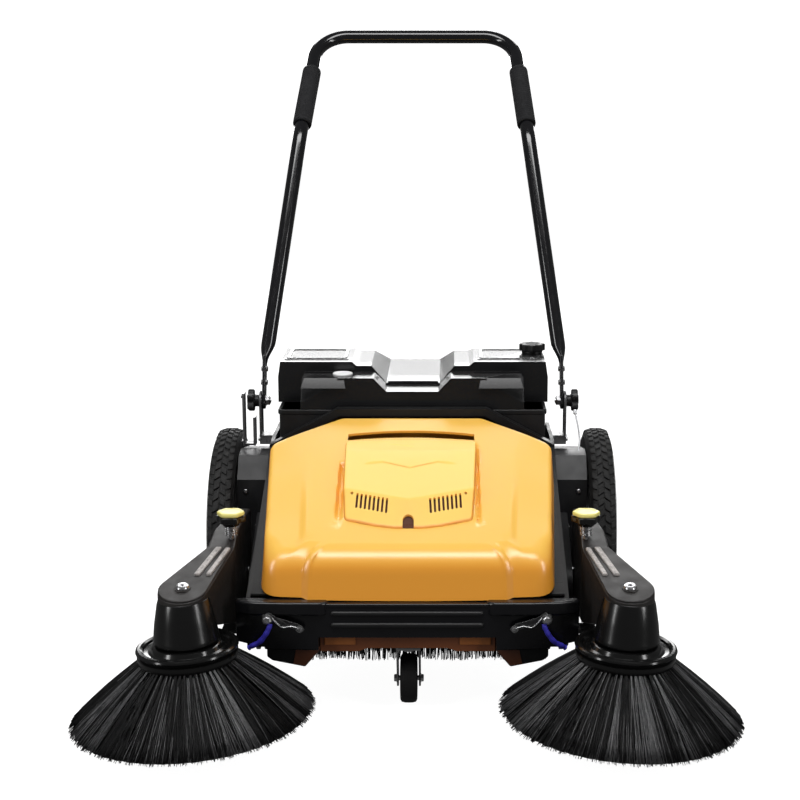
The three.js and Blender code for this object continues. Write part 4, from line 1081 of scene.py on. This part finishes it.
for s in (-1, 1):            # slanted face under the front edge of each shelf
    slope = ((116, 450.5, 450.5), (184, 450.5, 450.5), (112, 440, 433), (190, 440, 433), (114, 450.5, 431),
             (188, 450.5, 431))
    wedge = hull("shelf_slope", [(s * x, y, z) for x, y, z in slope])
    lid_parts.append(paint(bevel(wedge, 1.2, 2, 20), "lid"))
lid_parts.append(slab([(-44, 512.6), (44, 512.6), (44, 516), (-44, 516)], "Z", 429.5, 433, "lid", 1, 2))
refine("hopper_lid", "lid", "body_plastic", 3.0, 4, 22, extra=lid_parts)

plug = [(0, 452.4), (9, 452.4), (10, 451.8), (12, 451.8), (13, 452.8), (15.6, 452.8), (16.8, 451.8),
        (17, 450.4),
        (15, 450.3), (15, 443), (0, 443)]
put(turned("lid_plug_disc", plug, P(-120, 486, 0), UP, 64, "pale"), "hopper", "pale_plastic", "lid_plug")

CAP_X, CAP_ST = 211, 606
cap_at = P(CAP_X, CAP_ST, 0)
cap_top = bevel(prism("cap_top", wavy(CAP_X, CAP_ST, 21.4, 1.7, 8), "Z", 471, 483.6), 2.4, 4, 40)
cut(cap_top, lathe("dish", [(0, 482), (10, 482), (13, 483), (14, 485), (0, 485)], cap_at, UP, 64))
bar = [(CAP_X + dx, CAP_ST + dy) for dx, dy in ((-11, -3), (11, -3), (11, 3), (-11, 3))]
cap_parts = [paint(shade(cap_top, 35), "body"),
             turned("cap_collar", [(0, 467.3), (18, 467.3), (18.6, 468.2), (18.6, 470.5), (17, 472),
                                   (0, 472)],
                    cap_at, UP, 64, "body"),
             turned("cap_stem", [(0, 458), (12, 458), (12.6, 459), (12.6, 468), (0, 468)], cap_at, UP, 48,
                    "body"),
             slab(round_corners(bar, 2.5), "Z", 481.5, 484, "body", 0.8, 2)]
put(join("hopper_cap_wheel", cap_parts), "hopper_cap", "body_plastic", "hopper_cap")

# ------------------------------------------------------------------ handle
TUBE_R, TAPER_TOP, TAPER = 12.5, 494, 36
ELBOW, BAR, FOOT = P(205, 700, 847), P(184, 888, 1024), P(PIVOT_X, 529, 455)


def flip(p):
    return Vector((-p.x, p.y, p.z))


corners = fillet([FOOT, ELBOW, BAR, flip(BAR), flip(ELBOW), flip(FOOT)], [90, 62, 62, 90], 3.0)
path = []
for a, b in zip(corners, corners[1:]):
    n = max(1, int((b - a).length / 0.008))
    path += [a.lerp(b, k / n) for k in range(n)]
path.append(corners[-1])
bow = tube("bow", path, TUBE_R, 40)
leg = Vector((0, ELBOW.y - FOOT.y, ELBOW.z - FOOT.z)).normalized()
across = Vector((0, leg.z, -leg.y))
for v in bow.data.vertices:         # the tube's ends are flattened to the tongues
    z = v.co.z * 1000
    if z < TAPER_TOP:
        t = smooth01((TAPER_TOP - z) / TAPER)
        s = 1 if v.co.x > 0 else -1
        mid = FOOT.lerp(ELBOW, (v.co.z - FOOT.z) / (ELBOW.z - FOOT.z))
        cx = s * (mid.x * (1 - t) + PIVOT_X / 1000 * t)
        v.co.x = cx + (v.co.x - s * mid.x) * (1 - 0.74 * t)
        off = Vector((0, v.co.y - mid.y, v.co.z - mid.z)).dot(across)
        v.co += across * off * 0.22 * t
handle_parts = [paint(shade(bow, 50), "tube")]
for s in (-1, 1):
    tongue = arc(PIVOT_ST, PIVOT_Z, 14.6, 190, 372, 24) + [(545, 470), (519, 478)]
    plate = prism("tongue", tongue, "X", s * 255.2, s * 260.8)
    cut(plate, prism("pivot_hole", circle(PIVOT_ST, PIVOT_Z, 4.3, 24), "X", s * 250, s * 270))
    handle_parts.append(paint(bevel(plate, 1.6, 3, 25), "tube"))
for s in (-1, 1):
    for y, z in ((527, 452), (517, 430)):
        handle_parts.append(bolt(P(s * 260.6, y, z), (s, 0, 0), 5.2, 3.4, "darksteel"))
        handle_parts.append(bolt(P(s * 255.4, y, z), (-s, 0, 0), 5.2, 3.0, "darksteel"))
put(join("handle_bow", handle_parts), "handle", "painted_steel", "handle_tube")

GRIP_SHARE, GRIP_START, GROOVE_STEP, GRIP_R, GRIP_IN = 0.54, 0.10, 5.6, 17, 13.2
for side, s in SIDES:
    e, b = (ELBOW, BAR) if s > 0 else (flip(ELBOW), flip(BAR))
    d = b - e
    L = d.length * 1000 * GRIP_SHARE
    prof = [(GRIP_IN, 0), (15.4, 0), (16.6, 1.2), (GRIP_R, 3.5)]
    k = 0
    while 8 + k * GROOVE_STEP < L - 8:
        y0 = 8 + k * GROOVE_STEP
        prof += [(GRIP_R, y0 - 1.1), (16.45, y0), (GRIP_R, y0 + 1.1)]
        k += 1
    prof += [(GRIP_R, L - 3.5), (16.6, L - 1.2), (15.4, L), (GRIP_IN, L)]
    put(turned(side + "_foam_grip", prof, e + d * GRIP_START, d, 56, "foam", 60, closed=True), "handle",
        "grip_foam", side + "_grip")

    pk, out = P(s * 265.7, PIVOT_ST, PIVOT_Z), (s, 0, 0)
    star = [slab(wavy(PIVOT_ST, PIVOT_Z, 17.0, 3.1, 5), "X", s * 274.3, s * 286, "body", 3.0, 4, 40),
            turned("star_boss", [(0, 0), (10, 0), (10.4, 0.8), (10.4, 7), (13, 9.5), (0, 9.5)], pk, out, 48,
                   "body"),
            turned("star_plug", [(0, 21.6), (5, 21.4), (6.2, 20.6), (6.6, 19.4), (0, 19.4)], pk, out, 48,
                   "body"),
            turned("star_stud", [(0, -20), (4, -20), (4, 2), (0, 2)], pk, out, 24, "steel"),
            bolt(P(s * 254.6, PIVOT_ST, PIVOT_Z), (-s, 0, 0), 8.6, 7.4)]
    put(join(side + "_star_knob", star), side + "_clamp", "body_plastic", side + "_handle_knob")
    bolts = [bolt(P(s * 265.4, y, 334), out, 4.6, 3.2) for y in (497, 513)]
    refine(side + "_handle_bracket", "strap", "painted_steel", 0.9, 2, extra=bolts)

refine("left_stay", "strap", "painted_steel", 0.8, 2,
       extra=[bolt(P(-295, 505, z), (-1, 0, 0), 4.4, 3.0) for z in (328, 408)])
wire_pts = [P(279, 470, 384), P(284, 462, 360), P(286, 456, 340), P(283, 450, 325)]
rod_end = [(0, -1), (3, -1), (3.4, 0), (3.4, 6), (3, 7), (0, 7)]
wire = [shade(tube("rod", curve_through(wire_pts, 12), 1.6, 14), 60),
        shade(lathe("rod_end", rod_end, wire_pts[0], (-0.1, 0.3, 1), 28), 30)]
put(paint(join("right_wire_rod", wire), "wire"), "chassis", "steel", "right_wire")

# ------------------------------------------------------------------ floor, backdrop, lights, camera
def glow(name, color, strength):
    m = bpy.data.materials.new(name)
    m.use_nodes = True
    bsdf = m.node_tree.nodes["Principled BSDF"]
    bsdf.inputs["Base Color"].default_value = (*color, 1)
    bsdf.inputs["Roughness"].default_value = 0.9
    bsdf.inputs["Specular IOR Level"].default_value = 0.1
    bsdf.inputs["Emission Color"].default_value = (1, 1, 1, 1)
    bsdf.inputs["Emission Strength"].default_value = strength
    return m


floor = shade(lathe("studio_floor", [(0, -1), (15000, -1)], Vector((0, 0, 0)), (0, 0, 1), 64), 60)
floor.data.materials.append(glow("pale_floor", (0.3, 0.3, 0.3), 0.97))
floor.visible_diffuse = False
floor.visible_glossy = False
dome = shade(lathe("studio_backdrop", [(15000 * math.cos(math.radians(a)),
                                        15000 * math.sin(math.radians(a)))
                                       for a in range(-90, 91, 6)], Vector((0, 0, 0)), (0, 0, 1), 64), 80)
dome.data.flip_normals()
dome.data.materials.append(glow("pale_backdrop", (0.9, 0.9, 0.9), 1.0))
for off in ("visible_diffuse", "visible_glossy", "visible_transmission", "visible_shadow"):
    setattr(dome, off, False)

world = bpy.data.worlds.new("studio")
bpy.context.scene.world = world
world.use_nodes = True
bg = world.node_tree.nodes["Background"]
bg.inputs[0].default_value = (1, 1, 1, 1)
bg.inputs[1].default_value = 0.12


def softbox(name, loc, target, w, h, power):
    d = bpy.data.lights.new(name, "AREA")
    d.shape = "RECTANGLE"
    d.size, d.size_y = w, h
    d.energy = power
    o = bpy.data.objects.new(name, d)
    bpy.context.scene.collection.objects.link(o)
    o.location = loc
    o.rotation_euler = (Vector(target) - Vector(loc)).to_track_quat("-Z", "Y").to_euler()
    o.visible_camera = False
    return o


softbox("key_top", (0.0, -1.25, 3.0), (0, 0, 0.3), 2.8, 1.0, 74)
softbox("left_strip", (-2.4, -1.6, 1.2), (0, -0.1, 0.3), 0.4, 1.8, 24)
softbox("right_strip", (2.4, -1.6, 1.2), (0, -0.1, 0.3), 0.4, 1.8, 24)
softbox("rear_top", (0, 2.4, 2.6), (0, 0.2, 0.4), 2.6, 1.0, 42)
softbox("rear_low", (0, 5.0, 1.45), (0, 0, 0.4), 4.2, 1.1, 95)

cam_data = bpy.data.cameras.new("camera")
cam_data.lens = 72
cam_data.sensor_width = 36
cam_data.shift_x = -0.058
cam = bpy.data.objects.new("camera", cam_data)
bpy.context.scene.collection.objects.link(cam)
cam.location = (0.058, -2.573, 0.954)
cam.rotation_euler = (math.radians(78.5), 0, 0)
bpy.context.scene.camera = cam
bpy.context.scene.view_settings.view_transform = "Standard"
